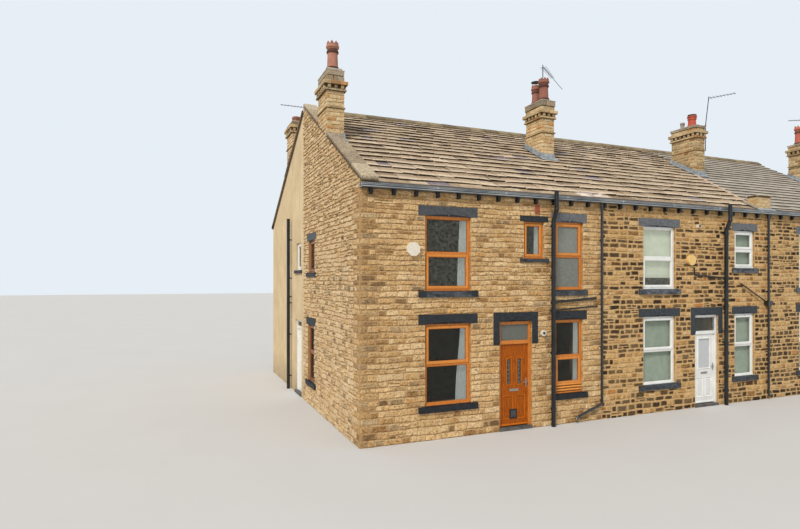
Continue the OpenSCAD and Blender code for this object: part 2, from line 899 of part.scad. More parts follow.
// A door frame that stands on the step, with a light over the leaf if there is room
module door_frame(u, head) {
    inner = door_w - 2 * jamb_w;
    over_z = transom_z + transom_h;
    translate([u, recess, 0]) difference() {
        translate([-door_w / 2, 0, ground_floor_t + seat])
            cube([door_w, door_frame_d, head - ground_floor_t - 2 * seat]);
        translate([-inner / 2, -eps, ground_floor_t - eps])
            cube([inner, door_frame_d + 2 * eps, transom_z - ground_floor_t + eps]);
        if (head - jamb_w > over_z)
            translate([-inner / 2, -eps, over_z])
                cube([inner, door_frame_d + 2 * eps, head - jamb_w - over_z]);
    }
}

// A leaf is [lights, light height, rise of the mouldings' tops], a light is [offset, width]
light_z = 1020;
oak_leaf = [[[-155, 110], [155, 110]], 620, 60];
white_leaf = [[[0, 460]], 850, 0];
panel_gap = 90;
panel_z = 180;
panel_rise = 560;
panel_depth = 10;
moulding_w = 28;
moulding_out = 8;
panel_w = (leaf_w - 3 * panel_gap) / 2;

// The outline round a light, whose top rises towards the middle of the leaf
module light_outline(l, h, rise, grow) {
    w = l[1] / 2 + grow;
    left = l[0] > 0 ? rise : 0;
    right = l[0] < 0 ? rise : 0;
    translate([l[0], 0]) polygon([[-w, -grow], [w, -grow], [w, h + grow + right], [-w, h + grow + left]]);
}

// A leaf with two recessed low panels and moulded lights over them
module leaf(u, gap, kind) {
    w = door_w - 2 * jamb_w - 2 * gap;
    bottom = gap < door_gap ? ground_floor_t + gap : leaf_z;
    translate([u, recess + door_frame_d - leaf_t, bottom]) {
        difference() {
            translate([-w / 2, 0, 0]) cube([w, leaf_t, transom_z - gap - bottom]);
            for (x = [-panel_gap / 2 - panel_w, panel_gap / 2], y = [-eps, leaf_t - panel_depth])
                translate([x, y, panel_z]) cube([panel_w, panel_depth + eps, panel_rise]);
            for (l = kind[0])
                translate([l[0] - l[1] / 2, -eps, light_z]) cube([l[1], leaf_t + 2 * eps, kind[1]]);
        }
        for (l = kind[0])
            translate([0, 0, light_z]) along_y(-moulding_out, moulding_out) difference() {
                light_outline(l, kind[1], kind[2], moulding_w);
                light_outline(l, kind[1], kind[2], 0);
            }
    }
}

module leaf_glass(u, gap, kind) {
    pane_t = 12;
    bottom = gap < door_gap ? ground_floor_t + gap : leaf_z;
    for (l = kind[0])
        translate([u + l[0] - l[1] / 2, recess + door_frame_d - (leaf_t + pane_t) / 2, bottom + light_z])
            cube([l[1], pane_t, kind[1]]);
}

hinge_z = [250, 1050, 1780];
pivot_y = recess + door_frame_d + knuckle_r;
function pivot_x(u) = u - door_w / 2 + jamb_w + door_gap / 2;

// One knuckle of a butt hinge with its flap, to the right or the left of the pin
module knuckle(u, z, length, side) {
    flap = 33;
    flap_t = 3;
    translate([pivot_x(u), pivot_y, z]) {
        cylinder(h = length, r = knuckle_r);
        translate([side > 0 ? 0 : -flap, -knuckle_r, 0]) cube([flap, flap_t, length]);
    }
}

// Lever handles on both faces, letter plate, and the leaf's hinge knuckles
module door_fittings(u) {
    plate_t = 8;
    handle_z = leaf_z + 930;
    handle_out = 50;
    out_y = recess + door_frame_d - leaf_t;
    in_y = recess + door_frame_d;
    lock_x = u + leaf_w / 2 - 45;
    for (z = hinge_z) knuckle(u, leaf_z + z, knuckle_l, 1);
    for (inside = [false, true]) {
        translate([lock_x - 15, inside ? in_y : out_y - plate_t, handle_z]) cube([30, plate_t, 220]);
        translate([lock_x, inside ? in_y : out_y - handle_out, handle_z + 130]) rotate([-90, 0, 0])
            cylinder(h = handle_out, r = 9);
        translate([lock_x - 115, inside ? in_y + handle_out - 16 : out_y - handle_out, handle_z + 120])
            cube([124, 16, 20]);
    }
    translate([u - 130, out_y - plate_t, leaf_z + 850]) cube([260, plate_t, 60]);
}

// The frame's knuckles, above and below those of the leaf
module frame_knuckles(u) {
    half = knuckle_l / 2;
    for (z = hinge_z) {
        knuckle(u, leaf_z + z + knuckle_l + seat, half, -1);
        knuckle(u, leaf_z + z - half - seat, half, -1);
    }
}

module door_frame_1() {
    color("chocolate") door_frame(door_u[0], low_head_z);
}
module door_leaf_1() {
    color("chocolate") leaf(door_u[0], door_gap, oak_leaf);
}
module door_glass_1() {
    color("lightblue", 0.5) leaf_glass(door_u[0], door_gap, oak_leaf);
}
module door_fittings_1() {
    color("gold") door_fittings(door_u[0]);
}
module door_frame_2() {
    color("white") door_frame(door_u[1], low_head_z);
}
module door_leaf_2() {
    color("white") leaf(door_u[1], door_gap, white_leaf);
}
module door_glass_2() {
    color("lightblue", 0.5) leaf_glass(door_u[1], door_gap, white_leaf);
}
module door_fittings_2() {
    color("gold") door_fittings(door_u[1]);
}

module hinge_plates() {
    color("gold") for (i = [0, 1]) frame_knuckles(door_u[i]);
}

// A door that stays closed
module fixed_door(u, head) {
    door_frame(u, head);
    leaf(u, seat, white_leaf);
    leaf_glass(u, seat, white_leaf);
}

module fixed_doors() {
    color("white") {
        fixed_door(door_u[2], low_head_z);
        on_gable() fixed_door(-gable_door_y, gable_door_head);
        on_rear() for (u = door_u) fixed_door(-u, low_head_z);
    }
}

module door_step(u) {
    translate([u - door_w / 2, -step_out, 0]) cube([door_w, wall_t + step_out, ground_floor_t]);
}

module door_steps() {
    color("dimgray") {
        for (u = door_u) door_step(u);
        on_gable() door_step(-gable_door_y);
        on_rear() for (u = door_u) door_step(-u);
    }
}

// A round bar between two points
module bar(a, b, r) {
    d = b - a;
    l = norm(d);
    translate(a) rotate([0, acos(d[2] / l), atan2(d[1], d[0])]) cylinder(h = l, r = r);
}

// A pipe through a list of points, with a swelling elbow at each bend
module pipe(points, r) {
    for (i = [0 : len(points) - 2]) bar(points[i], points[i + 1], r);
    for (i = [1 : 1 : len(points) - 2]) translate(points[i]) sphere(r * elbow);
}

// A strap from a pipe to the wall
module strap(x, y, z, r, w) {
    translate([x - w / 2, y + r - 10, z - w / 2]) cube([w, pipe_off + 10 - seat, w]);
}

// A soil pipe whose head steps out round the gutter
module soil_pipe(x) {
    y = -soil_r - pipe_off;
    out_y = -gutter_out - soil_step - soil_r;
    pipe([[x, y, 0], [x, y, step_low_z], [x, out_y, step_high_z], [x, out_y, soil_top_z]], soil_r);
    for (z = collar_z) {
        translate([x, y, z - collar_h / 2]) cylinder(h = collar_h, r = soil_r + collar_out);
        strap(x, y, z, soil_r, 40);
    }
}

module soil_pipes() {
    y = -soil_r - pipe_off;
    color("black") {
        for (x = soil_pipe_x) soil_pipe(x);
        on_gable() {
            translate([-gable_pipe_y, y, 0]) cylinder(h = gutter_top - 50, r = soil_r);
            for (z = collar_z) strap(-gable_pipe_y, y, z, soil_r, 40);
        }
    }
}

// A length of rainwater pipe with clips
module down_pipe(x, z0, z1) {
    y = -down_r - pipe_off;
    translate([x, y, z0]) cylinder(h = z1 - z0, r = down_r);
    for (z = clip_z) if (z > z0 && z + clip_h < z1) {
        translate([x, y, z]) cylinder(h = clip_h, r = down_r + 7);
        strap(x, y, z + clip_h / 2, down_r, 30);
    }
}

// A foot that turns the water out from the wall, or along it
module pipe_shoe(x) {
    y = -down_r - pipe_off;
    pipe([[x, y, foot_z - seat], [x, y, 190], [x, y - 40, 110]], down_r);
}
module pipe_foot(x, run) {
    y = -down_r - pipe_off;
    pipe([[x, y, foot_z - seat], [x, y, foot_z - 40], [x - run, y, 160], [x - run - 60, y, 90]], down_r);
}

// A hopper head that tapers to the pipe below it
module hopper(x) {
    pipe_y = -pipe_off - 2 * down_r;
    front = pipe_y - 30;
    rim = 30;
    z1 = hopper_z + hopper_h;
    neck = hopper_z + hopper_h * 0.4;
    intersection() {
        along_x(x - hopper_w / 2, hopper_w)
            polygon([[pipe_y, hopper_z], [-pipe_off, hopper_z], [-seat, neck], [-seat, z1],
                [front - 10, z1], [front - 10, z1 - rim], [front, z1 - rim], [front, neck]]);
        along_y(front - 10, -front + 10)
            polygon([[x - down_r, hopper_z], [x + down_r, hopper_z], [x + hopper_w / 2 - 10, neck],
                [x + hopper_w / 2 - 10, z1 - rim], [x + hopper_w / 2, z1 - rim],
                [x + hopper_w / 2, z1], [x - hopper_w / 2, z1], [x - hopper_w / 2, z1 - rim],
                [x - hopper_w / 2 + 10, z1 - rim], [x - hopper_w / 2 + 10, neck]]);
    }
}

module downpipes() {
    top = gutter_z - seat;
    color("black") {
        down_pipe(down_pipe_x[0], foot_z, top);
        pipe_foot(down_pipe_x[0], 790);
        for (i = [1, 2]) {
            x = down_pipe_x[i];
            down_pipe(x, foot_z, hopper_z - seat);
            hopper(x);
            down_pipe(x, hopper_z + hopper_h + seat, top);
            pipe_shoe(x);
        }
        to_rear_slope() for (x = down_pipe_x) {
            down_pipe(x, foot_z, top);
            pipe_shoe(x);
        }
    }
}

// A thin pipe through a list of points, with rounded ends and bends
module thin_pipe(points, r) {
    for (i = [0 : len(points) - 2])
        hull() for (p = [points[i], points[i + 1]]) translate(p) sphere(r, $fn = 12);
}

// A pipe that slopes from the wall beside the narrow window down to the first soil pipe
module branch_pipe(z, r, reach) {
    y = -r - 10;
    end_x = narrow_x1 + reach;
    thin_pipe([[soil_pipe_x[0] + soil_r + collar_out + r + seat, -soil_r - pipe_off, z],
        [soil_pipe_x[0] + 250, y, z + 20], [end_x, y, z + 95], [end_x, -r - seat, z + 95]], r);
}

// Waste pipes on the front, each from the wall to a soil pipe or a hopper
module waste_pipes() {
    y = -waste_r - 10;
    wall_y = -waste_r - seat;
    soil_y = -soil_r - pipe_off;
    joint_x = soil_r + collar_out + waste_r + seat;
    color("black") {
        branch_pipe(waste_low_z, waste_r, 880);
        branch_pipe(waste_mid_z, branch_r, 820);
        for (i = [1, 2]) {
            start_x = party_x[i - 1] + 3060;
            thin_pipe([[start_x, wall_y, waste_high_z + 280], [start_x, y, waste_high_z + 280],
                [start_x + 30, y, waste_high_z + 80], [soil_pipe_x[i] - 250, y, waste_high_z + 20],
                [soil_pipe_x[i] - joint_x, soil_y, waste_high_z]], waste_r);
            hopper_x = down_pipe_x[i] - hopper_w / 2 - waste_r - seat;
            thin_pipe([[hopper_x - 1030, wall_y, hopper_z + 710], [hopper_x - 1030, y - 30, hopper_z + 700],
                [hopper_x, y - 60, hopper_z + 165]], waste_r);
        }
    }
}

// Alarm boxes and lamps on the front
module wall_fittings() {
    box_out = 80;
    color("ivory") {
        translate([alarm_1[0], -seat, alarm_1[1]]) rotate([90, 22.5, 0])
            cylinder(h = box_out, r = 165, $fn = 8);
        translate([alarm_2[0], -seat, alarm_2[1]]) rotate([90, 0, 0]) cylinder(h = box_out, r = 150);
        translate([lamp_1[0], -seat, lamp_1[1]]) rotate([90, 0, 0]) cylinder(h = 60, r = 75);
        translate([floodlight[0] - 45, -box_out, floodlight[1] - 45]) cube([90, box_out - seat, 90]);
    }
}

// A boom with rods across it, pointing along +X from the mast
module boom(length) {
    boom_r = 9;
    rod_r = 6;
    rod_pitch = 110;
    count = floor(min(length, 1300) / rod_pitch);
    rotate([0, 90, 0]) cylinder(h = length, r = boom_r);
    for (i = [0 : count - 1]) {
        l = rod_l * (1 - 0.04 * i);
        translate([rod_pitch * (i + 0.7), l / 2, 0]) rotate([90, 0, 0]) cylinder(h = l, r = rod_r);
    }
}

// A mast that leans over the clamp at the top of its strapped foot
module leaning_mast(a) {
    clamp = 3 * mast_r;
    translate([0, 0, -mast_foot]) cylinder(h = mast_foot, r = mast_r);
    cube([clamp, clamp, clamp], center = true);
    rotate([0, a[6], 0]) {
        cylinder(h = a[3], r = mast_r);
        translate([0, 0, a[3] - 60]) rotate([0, 0, a[4]]) boom(a[5]);
    }
}

// Aerials on masts that are strapped to the stacks
module aerials() {
    color("silver") for (a = aerial_list) {
        c = chimneys[a[0]];
        translate([c[0] + a[1], c[1] + a[2], c[3]]) {
            if (a[6] > 0) leaning_mast(a);
            else {
                translate([0, 0, -mast_foot]) cylinder(h = mast_foot + a[3], r = mast_r);
                translate([0, 0, a[3] - 60]) rotate([0, 0, a[4]]) boom(a[5]);
            }
        }
    }
}

placed() front_wall();
placed() front_wall_over_doors();
placed() gable_wall_stone();
placed() gable_wall_rendered();
placed() rear_wall();
placed() party_walls();
placed() end_wall();
placed() ground_floor();
placed() first_floor();
placed() roof_slates_front();
placed() roof_slates_rear();
placed() roof_tiles_front();
placed() roof_tiles_rear();
placed() ridge_tiles();
placed() gable_coping();
placed() gutters();
placed() eaves_corbels();
placed() chimney_stacks();
placed() chimney_pots();
placed() chimney_leads();
placed() stub_stack();
placed() window_lintels();
placed() window_sills();
placed() door_surrounds();
placed() gable_lintels();
placed() side_sills();
placed() window_frames_house_1();
placed() window_frames_house_2();
placed() window_frames_house_3();
placed() window_frames_gable();
placed() window_frames_rear();
placed() window_glass_front();
placed() window_glass_rear();
placed() door_frame_1();
placed() door_leaf_1();
placed() door_glass_1();
placed() door_fittings_1();
placed() door_frame_2();
placed() door_leaf_2();
placed() door_glass_2();
placed() door_fittings_2();
placed() hinge_plates();
placed() fixed_doors();
placed() door_steps();
placed() soil_pipes();
placed() downpipes();
placed() waste_pipes();
placed() wall_fittings();
placed() pot_cowl();
placed() aerials();
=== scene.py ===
import math

import bmesh
import bpy
import numpy as np
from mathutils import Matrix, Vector


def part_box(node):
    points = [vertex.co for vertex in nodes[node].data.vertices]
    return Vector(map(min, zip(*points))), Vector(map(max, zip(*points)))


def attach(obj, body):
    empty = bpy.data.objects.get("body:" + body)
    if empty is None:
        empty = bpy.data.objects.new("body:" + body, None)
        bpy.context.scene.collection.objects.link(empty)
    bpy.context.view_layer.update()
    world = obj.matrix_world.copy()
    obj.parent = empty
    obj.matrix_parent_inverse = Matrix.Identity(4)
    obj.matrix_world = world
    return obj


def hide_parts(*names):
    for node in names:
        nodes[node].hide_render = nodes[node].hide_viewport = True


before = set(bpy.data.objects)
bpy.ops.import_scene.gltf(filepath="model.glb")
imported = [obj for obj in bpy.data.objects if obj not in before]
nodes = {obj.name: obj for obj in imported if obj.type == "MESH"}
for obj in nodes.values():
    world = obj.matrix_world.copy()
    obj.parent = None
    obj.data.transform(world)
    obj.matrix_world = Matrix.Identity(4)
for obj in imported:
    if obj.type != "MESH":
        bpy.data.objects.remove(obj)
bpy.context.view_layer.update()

# Places are in metres from the gable's face, the front face and the ground
wall_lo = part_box("front_wall")[0]
ORIGIN = np.array([wall_lo.x, wall_lo.y, 0.0])
ROW = "house_row"

DEPTH = 10.95
MID = DEPTH / 2
WALL = 0.5
PARTY = [7.03, 13.65, 20.27]
ROW_L = 20.77
EAVES = 5.81
RIDGE = 8.975
OVERHANG = 0.09
SLOPE = (RIDGE - EAVES) / (MID + OVERHANG)
ROOF_T = 0.15
COPING_W = 0.38
PARAPET = 0.06
RECESS = 0.06
FRAME_W = 0.062
FRAME_D = 0.065
BEARING = 0.17
NARROW_BEARING = 0.12
LOW_HEAD, LOW_SILL, UP_HEAD, UP_SILL, SHORT_SILL = 2.655, 0.777, 5.156, 3.424, 4.036
LINTEL_H, SILL_H = 0.229, 0.144
DOOR_W, BLOCK_Z = 0.95, 2.1
STACK_W = 0.5
STACK_BASE = 6.9
OVERSAIL = 0.08
WIDE, NARROW, SMALL = 1.2, 0.875, 0.6
DEEP_RAIL = 0.25


def opening(u, w, sill=LOW_SILL, head=LOW_HEAD, lintel=LINTEL_H, sill_h=SILL_H, rail=FRAME_W):
    """An opening is [centre, width, sill, head, lintel height, sill height, bottom rail]."""
    return [u, w, sill, head, lintel, sill_h, rail]


def later_windows(x):
    return [opening(x + 1.755, WIDE, UP_SILL, UP_HEAD), opening(x + 1.755, WIDE),
            opening(x + 5.22, NARROW, SHORT_SILL, UP_HEAD), opening(x + 5.22, NARROW)]


HOUSE_1 = [opening(2.175, WIDE, UP_SILL, UP_HEAD), opening(2.175, WIDE),
           opening(4.574, SMALL, 4.21, 5.13, 0.14, 0.09),
           opening(5.665, NARROW, UP_SILL, UP_HEAD), opening(5.665, NARROW, rail=DEEP_RAIL)]
HOUSE_2, HOUSE_3 = later_windows(PARTY[0]), later_windows(PARTY[1])
REAR_WINDOWS = [opening(-o[0], *o[1:4], 0, o[5]) for o in HOUSE_1 + HOUSE_2 + HOUSE_3]
DOOR_U = [4.038, PARTY[0] + 3.605, PARTY[1] + 3.605]
GABLE_UP = opening(1.045 - MID, 0.76, 3.89, 4.84, 0.2, 0.12)
GABLE_LOW = opening(0.99 - MID, 0.81, 0.7, 2.37, 0.2, 0.14)
GABLE_SMALL = opening(-0.72 - MID, 0.67, 3.99, 4.865, 0, 0.1)

# Chimneys are [left face, front face, depth, top, cap height, height of the block below it]
CHIMNEYS = [
    [0, MID - 2.705, 0.94, RIDGE + 0.375, 0.38, 0],
    [PARTY[0], MID - 2.515, 0.86, RIDGE + 0.465, 0.24, 0.13],
    [PARTY[1], MID - 2.625, 1.04, RIDGE + 0.335, 0.13, 0.09],
    [ROW_L - STACK_W, MID - 2.705, 1.04, RIDGE + 0.385, 0.13, 0.09],
    [0, MID + 1.765, 0.94, RIDGE + 0.145, 0.17, 0],
]
STUB = [PARTY[1] - 0.77, 0.06, 0.65, 0.315]


def ends(o, inset=0.0):
    """The left and right end of an opening, brought in by the inset."""
    return o[0] - o[1] / 2 + inset, o[0] + o[1] / 2 - inset


def roof_z(y):
    return EAVES + SLOPE * (np.minimum(y, DEPTH - y) + OVERHANG)


# Places on a wall are (along, into the wall, up); each wall turns them into the row's own
def on_front(p):
    return p


def on_gable(p):
    return np.stack([p[..., 1], -p[..., 0], p[..., 2]], axis=-1)


def on_rear(p):
    return np.stack([-p[..., 0], DEPTH - p[..., 1], p[..., 2]], axis=-1)


def on_end(p):
    return np.stack([ROW_L - p[..., 1], p[..., 0], p[..., 2]], axis=-1)


# Slopes take (along the row, up from the slates' surface, along the slope from the eaves)
COS = 1 / math.hypot(1, SLOPE)
SIN = SLOPE * COS
SLOPE_L = (MID + OVERHANG) / COS


def on_front_slope(p):
    y = -OVERHANG + p[..., 2] * COS - p[..., 1] * SIN
    z = EAVES + p[..., 2] * SIN + p[..., 1] * COS
    return np.stack([p[..., 0], y, z], axis=-1)


def on_rear_slope(p):
    q = on_front_slope(p)
    q[..., 1] = DEPTH - q[..., 1]
    return q


def node_mesh(name):
    """Points of a node in the row's own place, and its faces."""
    mesh = nodes[name].data
    return np.array([v.co[:] for v in mesh.vertices]) - ORIGIN, [tuple(f.vertices) for f in mesh.polygons]


class Heap:
    """Many small closed solids gathered into one mesh, with a tone, soot and rim value a point; the rim value
    carries painted shade and painted highlight.
    """

    def __init__(self):
        self.verts, self.faces, self.values = [], [], []
        self.count = 0

    def add(self, verts, faces, tone=0.5, soot=0.0, rim=0.0):
        verts = np.asarray(verts, float).reshape(-1, 3)
        rows = np.zeros((len(verts), 3))
        rows[:, 0], rows[:, 1], rows[:, 2] = tone, soot, rim
        self.verts.append(verts)
        self.values.append(rows)
        self.faces.extend(tuple(i + self.count for i in f) for f in faces)
        self.count += len(verts)

    def many(self, solids, faces, tones, soots=0.0, rims=0.0):
        n, k = solids.shape[:2]
        tones = np.broadcast_to(np.asarray(tones, float).reshape(-1, 1), (n, k))
        soots = np.asarray(soots, float)
        soots = np.broadcast_to(soots if soots.ndim == 2 else soots.reshape(-1, 1), (n, k))
        rims = np.broadcast_to(np.asarray(rims, float), (n, k))
        rows = np.stack([tones, soots, rims], axis=-1)
        self.verts.append(solids.reshape(-1, 3))
        self.values.append(rows.reshape(-1, 3))
        base = self.count
        self.faces.extend(tuple(i + base + j * k for i in f) for j in range(n) for f in faces)
        self.count += n * k

    def boxes(self, lo, hi, cut, tones=0.5, soots=0.0, rims=0.0, wall=None, rng=None, shake=0.0):
        """Chamfered boxes; tones and soots that are ranges are drawn with rng."""
        solids = chamfer_boxes(lo, hi, cut, rng, shake)
        tones, soots = (rng.uniform(*v, len(solids)) if isinstance(v, tuple) else v for v in (tones, soots))
        self.many(wall(solids) if wall else solids, CHAMFER_FACES, tones, soots, rims)

    def node(self, name, change, tone=0.5, rim=0.0):
        points, faces = node_mesh(name)
        self.add(change(points), faces, tone, 0.0, rim)

    def build(self, name, material, body=ROW, stands_for=(), smooth=None):
        mesh = bpy.data.meshes.new(name)
        mesh.from_pydata((np.concatenate(self.verts) + ORIGIN).tolist(), [], self.faces)
        rows = np.concatenate(self.values)
        for i, key in enumerate(("tone", "soot", "rim")):
            layer = mesh.attributes.new(key, "FLOAT", "POINT")
            layer.data.foreach_set("value", rows[:, i].astype(np.float32))
        edit = bmesh.new()
        edit.from_mesh(mesh)
        bmesh.ops.recalc_face_normals(edit, faces=edit.faces)
        edit.to_mesh(mesh)
        edit.free()
        if smooth is not None:
            mesh.shade_smooth()
            mesh.set_sharp_from_angle(angle=math.radians(smooth))
        piece = bpy.data.objects.new(name, mesh)
        bpy.context.collection.objects.link(piece)
        mesh.materials.append(material)
        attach(piece, body)
        if stands_for:
            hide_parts(*stands_for)
        return piece


# A grid with a skirt and a flat back: the shape of every stone face, slate and tile
def tablet_faces(cols, rows):
    quads = [(r * cols + c, r * cols + c + 1, (r + 1) * cols + c + 1, (r + 1) * cols + c)
             for r in range(rows - 1) for c in range(cols - 1)]
    rim = list(range(cols))
    rim += [r * cols + cols - 1 for r in range(1, rows)]
    rim += [(rows - 1) * cols + c for c in range(cols - 2, -1, -1)]
    rim += [r * cols for r in range(rows - 2, 0, -1)]
    k, total = len(rim), cols * rows
    skirt = [(rim[i], total + i, total + (i + 1) % k, rim[(i + 1) % k]) for i in range(k)]
    return quads + skirt + [tuple(range(total, total + k))], rim


def tablets(rects, heights, back, inset, ragged, rng, cols, rows, places=None, clip=0.0, side=1.0):
    """Closed solids as (along, out, up) for rectangles [u0, u1, v0, v1]."""
    n = len(rects)
    faces, rim = tablet_faces(cols, rows)
    u0, u1, v0, v1 = (rects[:, i][:, None, None] for i in range(4))
    gu = np.broadcast_to(np.linspace(0, 1, cols)[None, None, :], (n, rows, cols)).copy()
    places = np.linspace(0, 1, rows) if places is None else np.array(places)
    gv = np.broadcast_to(places[None, :, None], (n, rows, cols)).copy()
    shake = rng.uniform(-0.3, 0.3, (2, n, rows, cols))
    gu[:, 1:-1, 1:-1] += shake[0][:, 1:-1, 1:-1] / (cols - 1)
    if places[1] > 0.1:
        gv[:, 1:-1, 1:-1] += shake[1][:, 1:-1, 1:-1] / (rows - 1)
    u = u0 + inset * side + gu * (u1 - u0 - 2 * inset * side)
    v = v0 + inset + gv * (v1 - v0 - 2 * inset)
    bite = rng.uniform(0, ragged, (4, n, rows, cols))
    u[:, :, 0] += bite[0][:, :, 0] * side
    u[:, :, -1] -= bite[1][:, :, -1] * side
    v[:, 0, :] += bite[2][:, 0, :]
    v[:, -1, :] -= bite[3][:, -1, :]
    for r, c in ((0, 0), (0, -1), (-1, 0), (-1, -1)):
        pull = rng.uniform(0.3, 1.0, n) * clip
        u[:, r, c] += pull if c == 0 else -pull
        v[:, r, c] += pull if r == 0 else -pull
    face = np.stack([u, heights, v], axis=-1).reshape(n, rows * cols, 3)
    skirt = face[:, rim].copy()
    skirt[..., 1] = back if np.isscalar(back) else np.asarray(back)[:, rim]
    return np.concatenate([face, skirt], axis=1), faces, rim


def tube_faces(k, rings):
    """Faces of a tube with k points to a ring, and of its two ends."""
    sides = [(r * k + i, r * k + (i + 1) % k, (r + 1) * k + (i + 1) % k, (r + 1) * k + i)
             for r in range(rings - 1) for i in range(k)]
    return [tuple(range(k)), tuple(range(k * (rings - 1), k * rings))[::-1]] + sides


def box_hull(points):
    """Faces of the convex solid through these points."""
    work = bmesh.new()
    for p in points:
        work.verts.new(p)
    work.verts.index_update()
    bmesh.ops.convex_hull(work, input=work.verts)
    bmesh.ops.dissolve_limit(work, angle_limit=0.01, verts=work.verts, edges=work.edges)
    work.verts.index_update()
    keys = [tuple(round(x, 6) for x in p) for p in points]
    place = {k: i for i, k in enumerate(keys)}
    faces = [tuple(place[tuple(round(x, 6) for x in v.co)] for v in f.verts) for f in work.faces]
    work.free()
    return faces


# A box with chamfered edges, as offsets from its corners
CORNERS = [(x, y, z) for x in (-1, 1) for y in (-1, 1) for z in (-1, 1)]
CHAMFER = [(c, a) for c in CORNERS for a in range(3)]
CHAMFER_FACES = box_hull([[c[i] * (1.0 if i == a else 0.8) for i in range(3)] for c, a in CHAMFER])


def chamfer_boxes(lo, hi, cut, rng=None, shake=0.0):
    """Chamfered boxes between arrays of low and high corners."""
    lo, hi = np.atleast_2d(np.asarray(lo, float)), np.atleast_2d(np.asarray(hi, float))
    n = len(lo)
    out = np.zeros((n, 24, 3))
    moved = np.zeros((n, 8, 3)) if rng is None else rng.uniform(-shake, 0, (n, 8, 3))
    for k, (corner, axis) in enumerate(CHAMFER):
        which = CORNERS.index(corner)
        for i in range(3):
            end = hi[:, i] if corner[i] > 0 else lo[:, i]
            pull = (0.0 if i == axis else cut) - moved[:, which, i]
            out[:, k, i] = end - corner[i] * pull
    return out


def lay(u0, u1, courses, holes, rng, lengths, least=0.03):
    """Stones of coursed work as [u0, u1, v0, v1], clear of the holes."""
    stones, courses_of = [], []
    for number, (v0, v1) in enumerate(courses):
        near = [h for h in holes if h[2] < v1 - 0.003 and h[3] > v0 + 0.003]
        cuts = sorted({u0, u1, *[e for h in near for e in h[:2] if u0 < e < u1]})
        spans = []
        for a, b in zip(cuts, cuts[1:]):
            lo, hi = v0, v1
            for h in near:
                if h[0] < (a + b) / 2 < h[1]:
                    if h[2] <= v0 + least:
                        lo = max(lo, h[3])
                    else:
                        hi = min(hi, h[2])
            if hi - lo < least:
                continue
            if spans and spans[-1][1] == a and spans[-1][2:] == [lo, hi]:
                spans[-1][1] = b
            else:
                spans.append([a, b, lo, hi])
        for a, b, lo, hi in spans:
            at = a
            while b - at > 1e-4:
                step = rng.uniform(*lengths)
                if at == a:
                    step *= rng.uniform(0.5, 1.0)
                if b - at - step < lengths[0] * 0.6:
                    step = b - at
                    if step > lengths[1] * 1.15:
                        step /= 2
                stones.append([at, at + step, lo, hi])
                courses_of.append(number)
                at += step
    return np.array(stones), np.array(courses_of)


def course_levels(levels, target, rng, wobble=0.008):
    """Courses of about the target height between fixed levels."""
    edges = []
    for a, b in zip(levels, levels[1:]):
        count = max(1, round((b - a) / target))
        steps = np.linspace(a, b, count + 1)
        steps[1:-1] += rng.uniform(-wobble, wobble, count - 1)
        edges += list(steps[:-1])
    edges.append(levels[-1])
    return list(zip(edges, edges[1:]))


class Nodes:
    """Makes and links the nodes of a tree."""

    def __init__(self, tree):
        self.tree = tree

    def feed(self, socket, value):
        if isinstance(value, bpy.types.NodeSocket):
            self.tree.links.new(value, socket)
        else:
            socket.default_value = (*value, 1) if socket.type == "RGBA" else value

    def add(self, kind, **values):
        """A node of this kind, with its sockets set or linked by name."""
        node = self.tree.nodes.new("ShaderNode" + kind)
        for key, value in values.items():
            self.feed(node.inputs[key.replace("_", " ")], value)
        return node

    def math(self, operation, a, b=0.0):
        node = self.add("Math")
        node.operation = operation
        self.feed(node.inputs[0], a)
        self.feed(node.inputs[1], b)
        return node.outputs[0]

    def times(self, *factors):
        out = factors[0]
        for factor in factors[1:]:
            out = self.math("MULTIPLY", out, factor)
        return out

    def plus(self, a, b):
        return self.math("ADD", a, b)


